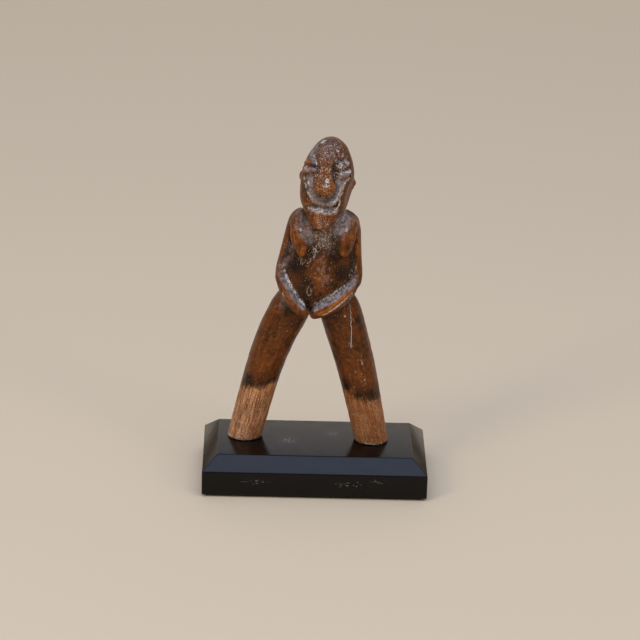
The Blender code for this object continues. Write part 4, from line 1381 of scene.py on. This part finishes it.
def glue_bead(side, seed):
    """An uneven ring of dried glue that follows the sawn edge of one foot."""
    low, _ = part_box("glue_bead_" + side)
    edge_points = sawn_line[np.sign(sawn_line[:, 0]) == (-1.0 if side == "left" else 1.0)]
    middle = (edge_points.min(0) + edge_points.max(0)) / 2
    x, y = (edge_points - middle).T
    turn, out = np.arctan2(y, x), np.hypot(x, y)
    order = np.argsort(turn)
    ring = bmesh.new()
    bmesh.ops.create_circle(ring, segments=10, radius=BEAD_RADIUS)
    start = float(out.mean())
    stand = Matrix.Translation((start, 0.0, 0.0)) @ Matrix.Rotation(pi / 2, 4, "X")
    bmesh.ops.transform(ring, matrix=stand, verts=ring.verts)
    bmesh.ops.spin(
        ring,
        geom=ring.verts[:] + ring.edges[:],
        axis=(0.0, 0.0, 1.0),
        cent=(0.0, 0.0, 0.0),
        angle=tau,
        steps=BEAD_STEPS,
        use_merge=True,
        use_duplicate=False,
    )
    for vert in ring.verts:
        angle = np.arctan2(vert.co.y, vert.co.x)
        edge_here = float(np.interp(angle, turn[order], out[order], period=tau))
        spot_here = Vector((cos(angle), sin(angle), seed)) * LUMPS_ROUND
        plump = 0.75 + 0.9 * noise.noise(spot_here)
        away = (hypot(vert.co.x, vert.co.y) - start) * plump + edge_here + BEAD_GAP
        vert.co = Vector((cos(angle) * away, sin(angle) * away, vert.co.z * plump))
    bmesh.ops.translate(ring, vec=(*middle, low.z + BEAD_LIFT), verts=ring.verts)
    return finished("dried_glue_" + side, ring, "dried_glue", "glue_bead_" + side)


beads = [glue_bead("left", 1), glue_bead("right", 2)]
print("glue beads:", [b.name for b in beads])

# %% Dried glue
# Clear adhesive that set where it squeezed out: glassy, dark over the paint, and milky in places
# where it holds tiny bubbles. The dark colour is partly painted contact shadow under the foot
# rims, and the milky spots are partly painted glints.
glue, tree, glue_shader = new_material(
    "dried_clear_glue", Roughness=0.16, IOR=1.48, Transmission_Weight=0.35, Specular_IOR_Level=0.4
)
MILK_AND_GLINT_SIZE = 1.3 * MM
milk_and_glint_noise = add("TexNoise", add("TexCoord", out="Object"), 1 / MILK_AND_GLINT_SIZE, 2.0, 0.6)
milky_and_glinting = add("MapRange", milk_and_glint_noise, 0.56, 0.66, **EASE)
glue_shadow_and_glint_colour = add("Mix", milky_and_glinting, "#1c120a", "#a59680", **COLOURS)
tree.links.new(glue_shadow_and_glint_colour, glue_shader.inputs["Base Color"])
for bead in beads:
    bead.data.materials.append(glue)
print("glue nodes:", len(tree.nodes))

# %% [markdown]
# ## Steel pins
#
# A mount maker drills up into each leg and sets a short steel rod in the hole, so the doll cannot
# tip. The rods are out of sight. Each is a cone with two equal ends, which is the cylinder of
# bmesh, and its rims are filed off with a small bevel.

# %% Steel pins
# Bright drawn steel rod: a mid-grey metal with faint lines along its length. The real lines are a
# few thousandths of a millimetre wide, so they are drawn coarser.
LINE_WIDTH, LINE_STRETCH = 0.25 * MM, 0.03
FILED_RIM, LEVEL = 0.35 * MM, 0.1 * MM
steel, tree, steel_shader = new_material("drawn_steel", Base_Color=colour("#c3c5c8"), Metallic=1.0)
along_rod = add("Mapping", add("TexCoord", out="Object"), None, None, (1.0, 1.0, LINE_STRETCH))
drawn_lines = add("TexNoise", along_rod, 1 / LINE_WIDTH, 2.0, 0.6)
steel_gloss = add("MapRange", drawn_lines, 0.3, 0.7, 0.22, 0.4, **EASE)
tree.links.new(steel_gloss, steel_shader.inputs["Roughness"])
for side in ("left", "right"):
    low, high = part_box("mounting_pin_" + side)
    rod = bmesh.new()
    radius, length = (high.x - low.x) / 2, high.z - low.z
    bmesh.ops.create_cone(
        rod, cap_ends=True, segments=40, radius1=radius, radius2=radius, depth=length
    )
    rims = [e for e in rod.edges if abs(e.verts[0].co.z - e.verts[1].co.z) < LEVEL]
    round_off(rod, rims, FILED_RIM, 2)
    bmesh.ops.translate(rod, vec=(low + high) / 2, verts=rod.verts)
    pin = finished("steel_pin_" + side, rod, "pin_steel", "mounting_pin_" + side)
    pin.data.materials.append(steel)
    print("pin", side, "length, mm:", round(length / MM, 1))

# %% [markdown]
# ## Felt
#
# A sheet of felt keeps the base from scratching a shelf. It could be a flat plane, but its cut edge
# shows from low down. So it is a thin block with rounded corners and softened rims.

# %% Felt
# Pressed wool felt, glued on: to the eye it is matt and dark, with no weave, only matted fibres.
# Wool fibres are 0.02 to 0.03 mm wide, so they are drawn coarser, as tufts of half a millimetre.
FELT_CORNER, FELT_RIM, FELT_LEVEL = 1.5 * MM, 0.25 * MM, 0.01 * MM
TUFT_SIZE, TUFT_HEIGHT = 0.6 * MM, 0.15 * MM
sheet = bmesh.new()
bmesh.ops.create_cube(sheet, size=1.0)
bmesh.ops.scale(sheet, vec=felt_high - felt_low, verts=sheet.verts)
bmesh.ops.translate(sheet, vec=(felt_low + felt_high) / 2, verts=sheet.verts)
corners = [e for e in sheet.edges if abs(e.verts[0].co.z - e.verts[1].co.z) > LEVEL]
round_off(sheet, corners, FELT_CORNER, 4)
rims = [e for e in sheet.edges if abs(e.verts[0].co.z - e.verts[1].co.z) < FELT_LEVEL]
round_off(sheet, rims, FELT_RIM, 2)
felt_piece = finished("felt_sheet", sheet, "felt", "base_felt")
felt, tree, felt_shader = new_material("pressed_felt", Roughness=0.95, Sheen_Weight=0.4)
matted = add("TexNoise", add("TexCoord", out="Object"), 1 / TUFT_SIZE, 4.0, 0.6)
tufts = add("MapRange", matted, 0.35, 0.7, **EASE)
felt_colour = add("Mix", tufts, "#101012", "#26262a", **COLOURS)
tree.links.new(felt_colour, felt_shader.inputs["Base Color"])
bump = add("Bump", {"Height": matted, "Distance": TUFT_HEIGHT, "Strength": 1.0})
tree.links.new(bump, felt_shader.inputs["Normal"])
felt_piece.data.materials.append(felt)
print("felt faces:", len(felt_piece.data.polygons))
